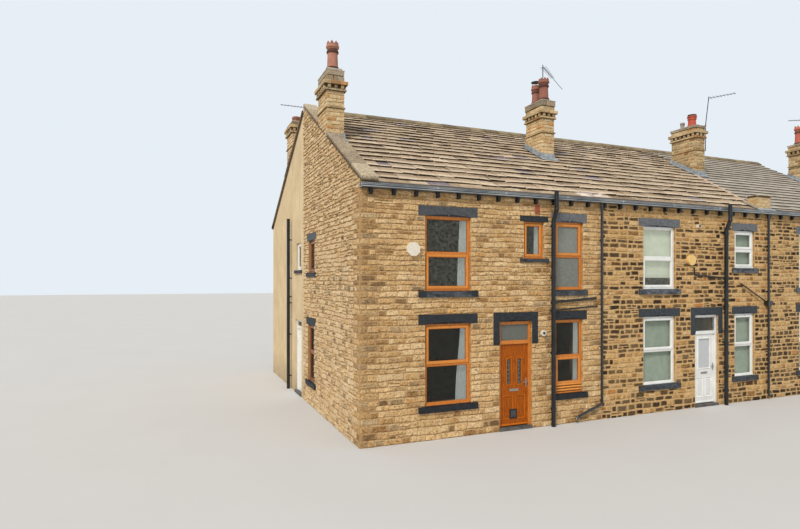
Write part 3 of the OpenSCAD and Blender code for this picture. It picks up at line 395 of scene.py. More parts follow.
class Shader(Nodes):
    """A material made of nodes on object coordinates."""

    def __init__(self, name, rough=0.8, metal=0.0, spec=0.4):
        self.mat = bpy.data.materials.new(name)
        self.mat.use_nodes = True
        super().__init__(self.mat.node_tree)
        self.bsdf = self.tree.nodes["Principled BSDF"]
        self.coord = self.add("TexCoord").outputs["Object"]
        self.shade(Roughness=rough, Metallic=metal, Specular_IOR_Level=spec)

    def shade(self, **values):
        """Sets or links the shader's own sockets by name."""
        for key, value in values.items():
            self.feed(self.bsdf.inputs[key.replace("_", " ")], value)

    def colour(self, value):
        self.shade(Base_Color=value)

    def noise(self, scale, detail=3.0, rough=0.55, stretch=(1, 1, 1), shift=0.0):
        moved = (shift, shift * 0.7, shift * 1.3)
        place = self.add("Mapping", Vector=self.coord, Location=moved, Scale=stretch)
        return self.add("TexNoise", Vector=place.outputs["Vector"], Scale=scale, Detail=detail,
                        Roughness=rough).outputs["Fac"]

    def ramp(self, fac, *stops):
        """Colours at places along a value."""
        node = self.add("ValToRGB", Fac=fac)
        band = node.color_ramp
        while len(band.elements) < len(stops):
            band.elements.new(0.5)
        for element, (at, colour) in zip(band.elements, stops):
            element.position = at
            element.color = (*colour, 1)
        return node.outputs["Color"]

    def blend(self, fac, dark, light, lo=0.3, hi=0.7):
        """From one screen colour to the other as a value rises."""
        return self.ramp(fac, (lo, srgb(*dark)), (hi, srgb(*light)))

    def step(self, fac, lo, hi):
        return self.add("MapRange", Value=fac, From_Min=lo, From_Max=hi).outputs["Result"]

    def within(self, value, lo, hi):
        return self.times(self.math("GREATER_THAN", value, lo), self.math("LESS_THAN", value, hi))

    def mix(self, fac, a, b, blend="MIX"):
        node = self.add("Mix")
        node.data_type = "RGBA"
        node.blend_type = blend
        for index, value in ((0, fac), (6, a), (7, b)):
            self.feed(node.inputs[index], value)
        return node.outputs[2]

    def attribute(self, name):
        node = self.add("Attribute")
        node.attribute_name = name
        return node.outputs["Fac"]

    def rims(self, base, pale, low, low_share):
        """The rim value paints a highlight on upper edges below 0 and painted shade on lower edges above 0.
        """
        rim = self.attribute("rim")
        if pale:
            base = self.mix(self.times(self.math("MAXIMUM", self.times(rim, -1.0), 0.0), 0.8), base, pale)
        return self.mix(self.times(self.math("MAXIMUM", rim, 0.0), low_share), base, low)

    def axis(self, index):
        """Metres from the gable's face, the front face or the ground."""
        place = self.add("SeparateXYZ", Vector=self.coord).outputs[index]
        return self.math("SUBTRACT", place, float(ORIGIN[index]))

    def roughness(self, fac, lo, hi):
        self.shade(Roughness=self.add("MapRange", Value=fac, To_Min=lo, To_Max=hi).outputs["Result"])

    def bump(self, height, strength, distance):
        node = self.add("Bump", Height=height, Strength=strength, Distance=distance)
        self.shade(Normal=node.outputs["Normal"])


def taken_up(mat):
    """A Shader on a material that has its nodes already, with the colour it has now."""
    s = Shader.__new__(Shader)
    s.mat, s.tree = mat, mat.node_tree
    s.bsdf = next(n for n in s.tree.nodes if n.type == "BSDF_PRINCIPLED")
    s.coord = next(n for n in s.tree.nodes if n.type == "TEX_COORD").outputs["Object"]
    return s, s.bsdf.inputs["Base Color"].links[0].from_socket


def srgb(r, g, b):
    """A colour written as screen values from 0 to 255."""
    return tuple((c / 255 / 12.92) if c <= 10 else ((c / 255 + 0.055) / 1.055) ** 2.4 for c in (r, g, b))


def stone_material(name, palette, joint, soot, grain=60, blotch=1.6, rim_mix=0.55, pale=None, mottled=0.5,
                   relief=0.012, contrast=0.62, stretch=(1, 1, 1), stained=0.3):
    """Stone coloured by each stone's tone, with grain, blotches and soot; by the rim value, its lower edges
    take the joint colour as painted shade and its upper edges take the pale colour as painted highlight.
    """
    s = Shader(name, 0.9, spec=0.25)
    soot = srgb(*soot)
    count = len(palette) - 1
    base = s.ramp(s.attribute("tone"), *[(i / count, srgb(*c)) for i, c in enumerate(palette)])
    mottle = s.step(s.noise(11, 5, 0.7, stretch), 0.42, 0.72)
    base = s.mix(s.times(mottle, mottled), base, s.mix(1.0, base, srgb(*palette[0]), "MULTIPLY"))
    hand = s.ramp(s.noise(22, 5, 0.75, stretch, 7),
                  (0.36, (contrast,) * 3), (0.48, (0.9,) * 3), (0.58, (1, 1, 1)))
    base = s.mix(1.0, base, hand, "MULTIPLY")
    light = s.step(s.noise(grain, 5, 0.7, stretch, 3), 0.45, 0.7)
    base = s.mix(s.times(light, 0.75), base, (0.98, 0.92, 0.8), "SOFT_LIGHT")
    pits = s.ramp(s.noise(grain * 1.2, 3, 0.6, stretch, 6), (0.36, (0.6,) * 3), (0.44, (1, 1, 1)))
    base = s.mix(1.0, base, pits, "MULTIPLY")
    patch = s.step(s.noise(blotch, 4, 0.6, shift=9), 0.5, 0.85)
    base = s.mix(s.times(patch, stained), base, soot)
    dirty = s.times(s.attribute("soot"), s.step(s.noise(15, 4, 0.7, shift=5), 0.1, 0.42))
    base = s.mix(dirty, base, soot)
    s.colour(s.rims(base, pale and srgb(*pale), srgb(*joint), rim_mix))
    s.roughness(s.noise(grain * 0.7, 3), 0.8, 0.98)
    s.bump(s.plus(s.noise(grain, 6, 0.75, stretch), s.times(s.noise(24, 5, 0.7, stretch), 2.4)), 0.9, relief)
    return s.mat


def plain_material(name, dark, light, scale=6, rough=(0.4, 0.6), metal=0.0, spec=0.4, bump=0.1,
                   distance=0.001, stretch=(1, 1, 1), fine=80, coat=0.0, painted_glow=None):
    """A finish that varies between two colours, with fine grain in its gloss and bump.
    Emission, if given as a colour and its strength, is painted light on cloth, standing in for the daylight
    that comes through it."""
    s = Shader(name, rough[0], metal, spec)
    s.colour(s.blend(s.noise(scale, 4, 0.6, stretch), dark, light))
    small = s.noise(fine, 4, 0.6, stretch)
    s.roughness(small, *rough)
    s.bump(small, bump, distance)
    if coat:
        s.shade(Coat_Weight=coat, Coat_Roughness=0.08)
    if painted_glow:
        s.shade(Emission_Color=srgb(*painted_glow[0]), Emission_Strength=painted_glow[1])
    return s.mat


# Finishes, in screen colours
HONEY = [(180, 138, 88), (218, 174, 117), (238, 196, 139), (253, 218, 166), (230, 177, 112)]
WARM = [(162, 122, 76), (206, 162, 104), (226, 182, 122), (234, 198, 146), (204, 138, 78)]
TAN = [(158, 124, 82), (200, 162, 108), (218, 178, 120), (228, 192, 140), (192, 142, 88)]
PALE = [(196, 164, 122), (220, 188, 144), (232, 202, 158), (240, 214, 174), (214, 174, 124)]
CREAM = [(210, 178, 134), (236, 202, 152), (248, 216, 166), (254, 230, 184), (230, 168, 108),
         (204, 194, 174)]
SLATE = [(140, 118, 94), (182, 156, 126), (210, 184, 152), (228, 204, 174), (150, 140, 148)]
SOOT = (42, 31, 24)
# Brown painted as shade under the lower edges of the stones
UNDERSIDE_SHADE = (96, 66, 40)
# Pale pointing, also painted as highlight on the upper edges of the stones
POINTING_AND_HIGHLIGHT = (230, 198, 152)

mortar_1 = stone_material("mortar_light", [(182, 146, 100), (206, 168, 120)], UNDERSIDE_SHADE, (110, 84, 58),
                          mottled=0.25, relief=0.003, contrast=0.7)
stone_1 = stone_material("stone_honey", HONEY, UNDERSIDE_SHADE, (78, 62, 48), rim_mix=0.85, pale=POINTING_AND_HIGHLIGHT, contrast=0.31)
stone_2 = stone_material("stone_warm", WARM, (80, 54, 32), SOOT, rim_mix=0.85, pale=(232, 192, 132),
                         contrast=0.46)
stone_3 = stone_material("stone_tan", TAN, (80, 56, 34), SOOT, rim_mix=0.85, pale=(224, 190, 136),
                         contrast=0.46)
stone_g = stone_material("stone_pale", PALE, (112, 84, 54), SOOT, rim_mix=0.65, pale=POINTING_AND_HIGHLIGHT, contrast=0.5)
stone_c = stone_material("stone_chimney", CREAM, (86, 64, 40), (84, 74, 52), rim_mix=0.85, blotch=3.5,
                         pale=(240, 216, 172), contrast=0.5)
stone_e = stone_material("stone_party", TAN, (108, 82, 54), SOOT, rim_mix=0.7, pale=POINTING_AND_HIGHLIGHT)
slate_m = stone_material("stone_slates", SLATE, (28, 22, 17), (76, 62, 54), grain=40, rim_mix=0.97,
                         pale=(240, 220, 192), relief=0.006, stretch=(0.45, 1, 1), contrast=0.33)
tile_m = stone_material("roof_tiles", [(156, 146, 132), (186, 175, 159), (204, 194, 178)],
                        (34, 30, 26), (92, 84, 72), grain=110, rim_mix=0.97, pale=(222, 212, 198),
                        relief=0.002, contrast=0.45)
ridge_m = stone_material("ridge_stone", [(132, 118, 94), (160, 144, 116), (184, 166, 134)],
                         (70, 60, 44), (88, 78, 54), grain=50)
coping_m = stone_material("coping_stone", [(190, 172, 142), (217, 199, 169), (234, 218, 189)],
                          (56, 44, 38), (90, 70, 70), grain=45, blotch=5, rim_mix=0.9,
                          contrast=0.42, stained=0.6)

# Where some slates over the eaves of the first house are paler
PALE_SLATES = 6.6

for material in (slate_m, tile_m):
    s, shown = taken_up(material)
    z = s.axis(2)
    away = s.math("ABSOLUTE", s.math("SUBTRACT", s.axis(0), PALE_SLATES))
    patch = s.times(s.step(away, 0.55, 0.35), s.step(z, EAVES + 0.25, EAVES + 0.21),
                    s.step(s.noise(9, 4, 0.7, (0.4, 1, 1), 11), 0.42, 0.5), 0.75)
    shown = s.mix(patch, shown, srgb(248, 236, 226))
    # A band along the eaves is painted dark, as painted shadow under the lowest slates.
    s.colour(s.mix(s.times(s.step(z, EAVES + 0.085, EAVES + 0.05), 0.9), shown, srgb(46, 38, 30)))

# Camera at the photograph's place, fitted in pixels
CAMERA_AT, YAW = (-3.79, -11.42, 3.68), -22.55
IMAGE_W, MIDDLE_Y, HORIZON_Y, FOCAL = 800, 264.5, 279.925, 551.556
SENSOR = 36
camera_data = bpy.data.cameras.new("view_camera")
camera = bpy.data.objects.new("view_camera", camera_data)
bpy.context.collection.objects.link(camera)
camera.location = Vector(ORIGIN) + Vector(CAMERA_AT)
camera.rotation_euler = (math.radians(90), 0, math.radians(YAW))
camera_data.sensor_width = SENSOR
camera_data.lens = FOCAL / IMAGE_W * SENSOR
camera_data.shift_y = (HORIZON_Y - MIDDLE_Y) / IMAGE_W
camera_data.clip_end = 300
bpy.context.scene.camera = camera


def opening_holes(o):
    """Rectangles of an opening with its lintel and its sill."""
    a, b = ends(o)
    bears = NARROW_BEARING if o[1] in (SMALL, NARROW) else BEARING
    found = [[a, b, o[2], o[3]], [a - bears, b + bears, o[2] - o[5], o[2]]]
    if o[4]:
        found.append([a - bears, b + bears, o[3], o[3] + o[4]])
    return found


def door_holes(u):
    a, b = ends([u, DOOR_W])
    return [[a, b, -0.1, LOW_HEAD], [a - BEARING, b + BEARING, BLOCK_Z, LOW_HEAD + LINTEL_H]]


STONE_GRID = (7, 5)
AIR_BRICK = [4.6, 4.735, 5.33, 5.56]
STONES_TOP = 5.685
SEAM_1, SEAM_2 = PARTY[0] - 0.31, 13.34


def waver(points, size):
    """A slow rise and fall of the bed joints, the same for neighbours."""
    u, v = points[..., 0], points[..., 2]
    waves = np.sin(2.3 * u + 5.1 * v) + 0.7 * np.sin(5.7 * u - 3.3 * v + 1) + 0.5 * np.sin(11 * u + 7 * v + 2)
    return size * waves / 2.2


def broken(rects, number, rng, share):
    """Some stones are split into a long thin one with two short ones on it, or the other way up."""
    out, rows = [], []
    for (u0, u1, v0, v1), k in zip(rects, number):
        if v1 - v0 < 0.115 or u1 - u0 < 0.22 or rng.uniform() > share:
            out.append([u0, u1, v0, v1])
            rows.append(k)
            continue
        split = v0 + (v1 - v0) * rng.uniform(0.42, 0.58)
        cut = u0 + (u1 - u0) * rng.uniform(0.35, 0.65)
        if rng.uniform() < 0.5:
            out += [[u0, u1, v0, split], [u0, cut, split, v1], [cut, u1, split, v1]]
        else:
            out += [[u0, cut, v0, split], [cut, u1, v0, split], [u0, u1, split, v1]]
        rows += [k, k, k]
    return np.array(out), np.array(rows)


NOSE = np.array([0.0, 1.0, 0.85, 0.45, 0.0])[None, :, None]
NOSE_PLACES = (0, 0.15, 0.42, 0.74, 1)
WORN_EDGE = 0.5


def lay_stones(heap, wall, rects, rng, proud, soot, top=None, joint=0.004, ragged=0.012, wave=0.009,
               shift=0.006):
    """Pitch-faced stones with a nose low on each face, cut to a sloping top where one is given."""
    cols, rows = STONE_GRID
    n = len(rects)
    rects = rects.copy()
    rects[:, 2:] += rng.uniform(-shift, shift, (n, 2))
    bulge = rng.uniform(*proud, (n, 1, 1))
    heights = rng.uniform(0.35, 1.0, (n, rows, cols)) * bulge * NOSE
    edge = np.ones((rows, cols), bool)
    edge[1:-1, 1:-1] = False
    heights[:, edge] = rng.uniform(0.001, 0.005, (n, int(edge.sum())))
    solids, faces, rim = tablets(rects, heights, -0.014, joint, ragged, rng, cols, rows, NOSE_PLACES,
                                 clip=0.009, side=0.5)
    solids[..., 2] += waver(solids, wave)
    if top is not None:
        solids[..., 2] = np.minimum(solids[..., 2], top(solids[..., 0]) - joint)
        keep = np.ptp(solids[..., 2], axis=1) > 0.03
        solids, soot = solids[keep], soot[keep]
    solids[..., 2] = np.maximum(solids[..., 2], 0.001)
    # Rim values: the foot of each stone is painted dark as painted shadow under its nose; its top, sides and
    # skirt are painted pale, partly pale pointing and partly painted highlight.
    rims, held = np.zeros(solids.shape[1]), np.ones(solids.shape[1])
    rims[rim] = -0.5
    rims[cols * (rows - 1):cols * rows] = -1
    rims[cols * rows:] = -0.6
    rims[:cols] = rims[cols * rows:cols * rows + cols] = 1
    held[rim] = held[cols * rows:] = WORN_EDGE
    held[:cols] = 0.85
    tones = np.clip(rng.normal(0.48, 0.26, len(solids)), 0, 1)
    solids[..., 1] *= -1
    heap.many(wall(solids), faces, tones, soot[:, None] * held, rims)


def dark_stones(rects, number, rng, dark, calm=None, depth=(0.75, 1.0)):
    """Soot of each stone: dark ones stand in short rows, with few of them in the calm patches."""
    rows = int(number.max()) + 1
    row = rng.uniform(0, 1, rows)[number]
    phase = rng.uniform(0, 6.3, rows)[number]
    middle = (rects[:, 0] + rects[:, 1]) / 2
    chance = dark * (0.3 + 1.1 * row) * (0.45 + 1.1 * (0.5 + 0.5 * np.sin(2.1 * middle + phase)))
    chance *= np.where(rects[:, 3] < LOW_HEAD, 1.35, 1.0)
    if calm:
        for a, b, z0, z1 in calm:
            inside = (middle > a) & (middle < b) & (rects[:, 2] > z0) & (rects[:, 3] < z1)
            chance[inside] *= 0.2
    return np.where(rng.uniform(0, 1, len(rects)) < chance, rng.uniform(*depth, len(rects)),
                    rng.uniform(0, 0.12, len(rects)))


def lay_front(name, x0, x1, windows, doors, material, targets, lengths, dark, seed, joint=0.004, calm=None,
              depth=(0.7, 1.0)):
    """Courses are targets[0] high at the ground and targets[1] high at the eaves."""
    rng = np.random.default_rng(seed)
    holes = [h for o in windows for h in opening_holes(o)] + [h for u in doors for h in door_holes(u)]
    levels = [0.0, LOW_SILL - SILL_H, LOW_SILL, BLOCK_Z, LOW_HEAD, LOW_HEAD + LINTEL_H,
              UP_SILL - SILL_H, UP_SILL, UP_HEAD, UP_HEAD + LINTEL_H, STONES_TOP]
    courses = []
    for a, b in zip(levels, levels[1:]):
        share = (a + b) / 2 / STONES_TOP
        target = targets[0] * (1 - share) + targets[1] * share
        courses += course_levels([a, b], target, rng, 0.02)
    if x0 == 0:
        holes += quoins(courses) + [AIR_BRICK]
    rects, number = lay(x0, x1, courses, holes, rng, lengths)
    rects, number = broken(rects, number, rng, 0.14)
    heap = Heap()
    soot = dark_stones(rects, number, rng, dark, calm, depth)
    lay_stones(heap, on_front, rects, rng, (0.012, 0.028), soot, joint=joint, ragged=0.014, wave=0.014,
               shift=0.009)
    reveals(heap, windows, doors, courses, rng)
    heap.build(name, material)


def reveals(heap, windows, doors, courses, rng):
    """Thin returns of the jamb stones inside each opening."""
    lo, hi = [], []
    sides = [(*ends(o), o[2], o[3]) for o in windows] + [(*ends([u, DOOR_W]), 0.08, LOW_HEAD) for u in doors]
    for a, b, z0, z1 in sides:
        for v0, v1 in courses:
            c0, c1 = max(v0, z0) + 0.004, min(v1, z1) - 0.004
            if c1 - c0 < 0.03:
                continue
            for x in (a - 0.01, b - 0.004):
                lo.append([x, 0.002, c0])
                hi.append([x + 0.014, RECESS - 0.002, c1])
    # A rim value of 0.2 paints the returns a little darker, as painted shade inside the opening.
    heap.boxes(lo, hi, 0.003, (0.2, 0.8), rims=0.2, rng=rng, shake=0.002)


# A cube cut into a grid, for rough blocks that show on two sides
def block_template(cuts):
    work = bmesh.new()
    bmesh.ops.create_cube(work, size=2)
    bmesh.ops.subdivide_edges(work, edges=list(work.edges), cuts=cuts, use_grid_fill=True)
    work.verts.index_update()
    points = np.array([v.co[:] for v in work.verts])
    faces = [tuple(v.index for v in f.verts) for f in work.faces]
    work.free()
    return points, faces


BLOCK, BLOCK_FACES = block_template(4)
BLOCK_EDGE = (np.abs(BLOCK) > 0.99).sum(axis=1)


def rough_block(heap, lo, hi, rng, swell, cut, tone, soot):
    """A block whose faces swell past the given corners and whose edges are rounded."""
    lo, hi = np.array(lo, float), np.array(hi, float)
    middle, half = (lo + hi) / 2, (hi - lo) / 2
    pull = np.where(BLOCK_EDGE >= 2, cut, 0.0)[:, None]
    grow = np.where(BLOCK_EDGE == 1, rng.uniform(0.0, 1.0, len(BLOCK)) * swell, 0.0)[:, None]
    shake = rng.uniform(-0.06, 0.06, BLOCK.shape) * (BLOCK_EDGE < 2)[:, None] * (np.abs(BLOCK) < 0.99)
    outward = np.where(np.abs(BLOCK) > 0.99, np.sign(BLOCK), 0)
    points = middle + (BLOCK + shake) * half - outward * pull + outward * grow * [1, 1, 0]
    # Bottom edges are painted dark as painted shade, the other edges pale as painted highlight.
    rims = np.where(BLOCK_EDGE >= 2, np.where(BLOCK[:, 2] < -0.99, 1.0, -0.5), 0.0)
    heap.add(points, BLOCK_FACES, tone, soot, rims)


def quoins(courses):
    """Corner stones, long on the front and on the gable in turn; gives the room they take."""
    quoin_rng = np.random.default_rng(14)
    heap = Heap()
    holes = []
    GABLE_ROOM.clear()
    for k, (z0, z1) in enumerate(courses):
        long, short = quoin_rng.uniform(0.36, 0.5), quoin_rng.uniform(0.16, 0.24)
        x, y = (long, short) if k % 2 else (short, long)
        rough_block(heap, [0, 0, z0 + 0.005], [x - 0.005, y - 0.005, z1 - 0.005], quoin_rng, 0.016, 0.004,
                    quoin_rng.uniform(0, 0.75), quoin_rng.uniform(0.05, 0.6))
        holes.append([-0.1, x, z0, z1])
        GABLE_ROOM.append([-y, 0.1, z0, z1])
    heap.build("corner_stones", stone_1)
    return holes


GABLE_ROOM = []
lay_front("front_stones_house_1", 0.0, SEAM_1, HOUSE_1, DOOR_U[:1], stone_1, (0.15, 0.1), (0.15, 0.46),
          0.09, 11, depth=(0.25, 0.65))
lay_front("front_stones_house_2", SEAM_1, SEAM_2, HOUSE_2, DOOR_U[1:2], stone_2, (0.145, 0.115), (0.14, 0.42),
          0.74, 12, joint=0.010, calm=[[11.9, 13.4, 2.8, 4.2], [7.2, 13.4, 5.3, 5.7]])
lay_front("front_stones_house_3", SEAM_2, ROW_L, HOUSE_3, DOOR_U[2:], stone_3, (0.135, 0.112), (0.13, 0.4),
          0.6, 13, joint=0.008)

# The stone half of the gable, up to the coping
rng = np.random.default_rng(21)
gable_holes = [h for o in (GABLE_UP, GABLE_LOW) for h in opening_holes(o)]
stack_0 = CHIMNEYS[0]


def gable_top(u):
    y = -u
    line = roof_z(y) + PARAPET - 0.004
    beside = roof_z(stack_0[1]) + PARAPET + 0.1
    return np.where((y > stack_0[1]) & (y < stack_0[1] + stack_0[2]), np.maximum(line, beside), line)


gable_courses = [(h[2], h[3]) for h in GABLE_ROOM]
gable_courses += course_levels([gable_courses[-1][1], RIDGE + PARAPET], 0.11, rng, 0.018)
rects, number = lay(-MID, 0.0, gable_courses, gable_holes + GABLE_ROOM, rng, (0.12, 0.34))
rects, number = broken(rects, number, rng, 0.6)
soot = np.where(rng.uniform(0, 1, len(rects)) < 0.09, rng.uniform(0.3, 0.7, len(rects)), 0.03)
for name, part in (("gable_stones", rects[:, 2] < UP_SILL), ("gable_peak_stones", rects[:, 2] >= UP_SILL)):
    heap = Heap()
    lay_stones(heap, on_gable, rects[part], rng, (0.016, 0.04), soot[part], gable_top, ragged=0.02,
               wave=0.016, shift=0.014)
    heap.build(name, stone_g)

# The plain party end, from front to rear
rng = np.random.default_rng(22)


def end_top(u):
    return roof_z(u) - ROOF_T - 0.004


end_courses = course_levels([0.0, RIDGE], 0.19, rng, 0.015)
rects, number = lay(0.0, DEPTH, end_courses, [], rng, (0.22, 0.6))
heap = Heap()
lay_stones(heap, on_end, rects, rng, (0.008, 0.016), rng.uniform(0, 0.3, len(rects)), end_top)
heap.build("party_end_stones", stone_e)


# Roofs: a lowered deck with overlapping slates or tiles whose tops lie in the roof's own plane
def lowered(points):
    line = roof_z(points[:, 1])
    on_top = np.abs(points[:, 2] - line) < 0.002
    out = points.copy()
    inner = np.clip((line - EAVES) / (RIDGE - EAVES), 0, 1)
    out[on_top, 2] -= (0.058 + 0.012 * inner)[on_top]
    return out


def along_slope(y):
    return (y + OVERHANG) / COS


def stack_rects(rear):
    """Room round the stacks on one slope."""
    found = []
    for x, y, w, d in [(c[0], c[1], STACK_W, c[2]) for c in CHIMNEYS] + [STUB]:
        y0, y1 = (DEPTH - y - d, DEPTH - y) if rear else (y, y + d)
        if y0 < MID and y1 < MID:
            found.append([x - 0.006, x + w + 0.006, along_slope(y0) - 0.008, along_slope(y1) + 0.008])
    return found


# Slates give way to tiles along a slanting line, then behind a stack, and on the rear slope at one place
SLANT_X, SLANT, SLANT_TOP, BEHIND_STACK = 12.98, 0.229, 2.9, 14.15
REAR_JUNCTION = 13.42


def junction(s):
    y = s * COS - OVERHANG
    return np.where(y < SLANT_TOP, SLANT_X + SLANT * y, BEHIND_STACK)


def slate_courses(first, last, count, top):
    """Courses whose gauge goes evenly from the first to the last."""
    gauges = np.linspace(first, last, count)
    edges = np.concatenate([[0], np.cumsum(gauges)])
    edges *= top / edges[-1]
    return list(zip(edges[:-1], edges[1:]))


ROOF_ROWS = (0, 0.025, 0.5, 1)


def lay_roof(heap, slope, rear, rects, rng, cols, rows, thick, lift, ragged, lap, flat, side, gap, askew=0.0,
             spread=0.15):
    """Slates or tiles, each lifted at its tail and trimmed where the two meet: side keeps the lower
    or the higher places along the row."""
    n = len(rects)
    long = rects.copy()
    long[:, 3] += lap
    share = np.array(ROOF_ROWS)[None, :, None]
    tail = -thick[:, None, None] * 1.15
    heights = (lift[:, None, None] * (1 - share)) + tail * share
    heights = np.broadcast_to(heights, (n, rows, cols)).copy()
    heights += rng.uniform(-flat, 0, (n, rows, cols))
    heights[:, 0, :] -= rng.uniform(0.001, 0.004, (n, cols))
    heights += rng.uniform(-askew / 3, askew / 3, (n, 1, 1)) * np.linspace(-1, 1, cols)
    under = np.zeros((n, rows * cols))
    under[:] = (heights - thick[:, None, None] * (1 - 0.55 * share)).reshape(n, -1)
    solids, faces, rim = tablets(long, heights, under, 0.002, ragged, rng, cols, rows, ROOF_ROWS)
    middle, half = (long[:, 0] + long[:, 1]) / 2, (long[:, 1] - long[:, 0]) / 2
    turn = rng.uniform(-askew, askew, (n, 1))
    solids[..., 2] += turn * (solids[..., 0] - middle[:, None]) / half[:, None]
    solids[..., 2] = np.maximum(solids[..., 2], 0.001)
    edge = np.full(solids[..., 2].shape, REAR_JUNCTION) if rear else junction(solids[..., 2])
    solids[..., 0] = side(solids[..., 0], edge + gap)
    solids = solids[np.ptp(solids[..., 0], axis=1) > 0.05]
    n = len(solids)
    # The butt of each slate or tile is painted dark as painted shadow under its lower edge; a pale line above
    # it is partly worn pale stone and partly painted highlight on the arris; the sides are painted part dark
    # as shade in the side joints.
    rims = np.zeros(solids.shape[1])
    rims[:cols] = 0.8
    rims[cols:2 * cols] = -0.9
    rims[cols * rows:] = [1.0 if i < cols else 0.4 for i in rim]
    tones = np.clip(rng.normal(0.44, spread, n), 0, 0.75)
    tones[rng.uniform(0, 1, n) < 0.025] = 1.0
    heap.many(slope(solids), faces, tones, rng.uniform(0, 0.4, n), rims)


TOP_S = SLOPE_L - 0.10
SLATE_GAUGES, SLATE_COURSES, SLATES_END = (0.44, 0.27), 18, 14.16
TILE_W, TILE_COURSES, TILES_START = 0.33, 20, 12.8


def slates(name, node, slope, rear, seed):
    rng = np.random.default_rng(seed)
    heap = Heap()
    # The lowered deck is painted dark by its rim value, as painted shade in the gaps between slates.
    heap.node(node, lowered, 0.2, 0.6)
    courses = slate_courses(*SLATE_GAUGES, SLATE_COURSES, TOP_S)
    start = -0.06 if rear else COPING_W + 0.002
    rects = lay(start, SLATES_END, courses, stack_rects(rear), rng, (0.28, 0.68))[0]
    rects[:, 2] += rng.uniform(-0.02, 0.02, len(rects)) * (rects[:, 2] > 0.05)
    n = len(rects)
    lay_roof(heap, slope, rear, rects, rng, 6, 4, rng.uniform(0.03, 0.052, n), rng.uniform(-0.010, 0.003, n),
             0.014, 0.09, 0.003, np.minimum, -0.003, 0.016, 0.18)
    heap.build(name, slate_m, stands_for=(node,))


def clear_of(piece, h):
    """What is left of a tile's rectangle beside, below and above a hole."""
    if h[0] >= piece[1] or h[1] <= piece[0] or h[2] >= piece[3] - 0.02 or h[3] <= piece[2] + 0.02:
        return [piece]
    a, b, s0, s1 = piece
    kept = []
    if a < h[0] - 0.03:
        kept.append([a, h[0], s0, s1])
    if b > h[1] + 0.03:
        kept.append([h[1], b, s0, s1])
    mid = [max(a, h[0]), min(b, h[1])]
    if s0 < h[2] - 0.05:
        kept.append([*mid, s0, h[2] - 0.09])
    if s1 > h[3] + 0.05:
        kept.append([*mid, h[3], s1])
    return kept


def tiles(name, node, slope, rear, seed):
    rng = np.random.default_rng(seed)
    heap = Heap()
    # The lowered deck is painted dark by its rim value, as painted shade in the gaps between tiles.
    heap.node(node, lowered, 0.2, 1.0)
    edges = np.linspace(0, TOP_S, TILE_COURSES + 1)
    rects = []
    for k in range(TILE_COURSES):
        at = TILES_START - (TILE_W / 2 if k % 2 else 0)
        while at < ROW_L:
            pieces = [[at, min(at + TILE_W, ROW_L), edges[k], edges[k + 1]]]
            for h in stack_rects(rear):
                pieces = [q for p in pieces for q in clear_of(p, h)]
            rects += [p for p in pieces if p[1] - p[0] > 0.03 and p[3] - p[2] > 0.03]
            at += TILE_W
    rects = np.array(rects)
    n = len(rects)
    lay_roof(heap, slope, rear, rects, rng, 5, 4, np.full(n, 0.032), rng.uniform(-0.0025, 0, n),
             0.0015, 0.07, 0.0006, np.maximum, 0.003, spread=0.3)
    heap.build(name, tile_m, stands_for=(node,))


slates("slates_front", "roof_slates_front", on_front_slope, False, 31)
slates("slates_rear", "roof_slates_rear", on_rear_slope, True, 32)
tiles("tiles_front", "roof_tiles_front", on_front_slope, False, 33)
tiles("tiles_rear", "roof_tiles_rear", on_rear_slope, True, 34)


# Stones with one profile, run along the row with open joints
def profile_run(heap, points, starts, shake, rng, cuts=5, joint=0.005, rim=0.6):
    """Points are (y, z) round the profile; each stone is a closed length of it."""
    k = len(points)
    faces = tube_faces(k, cuts)
    for a, b in zip(starts, starts[1:]):
        xs = np.linspace(a + joint, b - joint, cuts)
        rows = []
        for r, x in enumerate(xs):
            moved = np.array(points) + rng.uniform(-shake, 0, (k, 2)) * [0, 1]
            if r in (0, cuts - 1):
                moved[:, 1] -= 0.004
            rows.append(np.column_stack([np.full(k, x), moved]))
        # The ends of each ridge stone are painted darker, as painted shade in the open joints.
        rims = np.zeros((cuts, k))
        rims[0], rims[-1] = rim, rim
        heap.add(np.concatenate(rows), faces, rng.uniform(0, 1), rng.uniform(0, 0.3), rims.reshape(-1))


rng = np.random.default_rng(41)
heap = Heap()
drop, shoulder = roof_z(MID - 0.21), roof_z(MID - 0.13)
half = [(-0.21, drop - 0.004), (-0.21, drop + 0.040), (-0.13, shoulder + 0.045), (-0.06, RIDGE + 0.020),
        (-0.03, RIDGE + 0.042)]
outline = [(MID + a, b) for a, b in half + [(-a, b) for a, b in half[::-1]] + [(0, RIDGE - 0.03)]]
starts = [COPING_W]
while starts[-1] < ROW_L - 0.75:
    starts.append(starts[-1] + rng.uniform(0.42, 0.62))
starts.append(ROW_L)
profile_run(heap, outline, starts, 0.006, rng)
# A core inside the ridge, painted dark as painted shade seen through the joints.
inner = [(MID + (a - MID) * 0.97, b - 0.012) for a, b in outline]
profile_run(heap, inner, [COPING_W + 0.002, ROW_L - 0.002], 0.0, rng, 2, 0.0, 1.0)
heap.build("ridge_stones", ridge_m, stands_for=("ridge_tiles",))

# Coping stones on the gable, on both sides of the front stack
rng = np.random.default_rng(42)
heap = Heap()
COPING_LIP = 0.01
COPING_FOOT = -0.15
COPING_T = 0.11


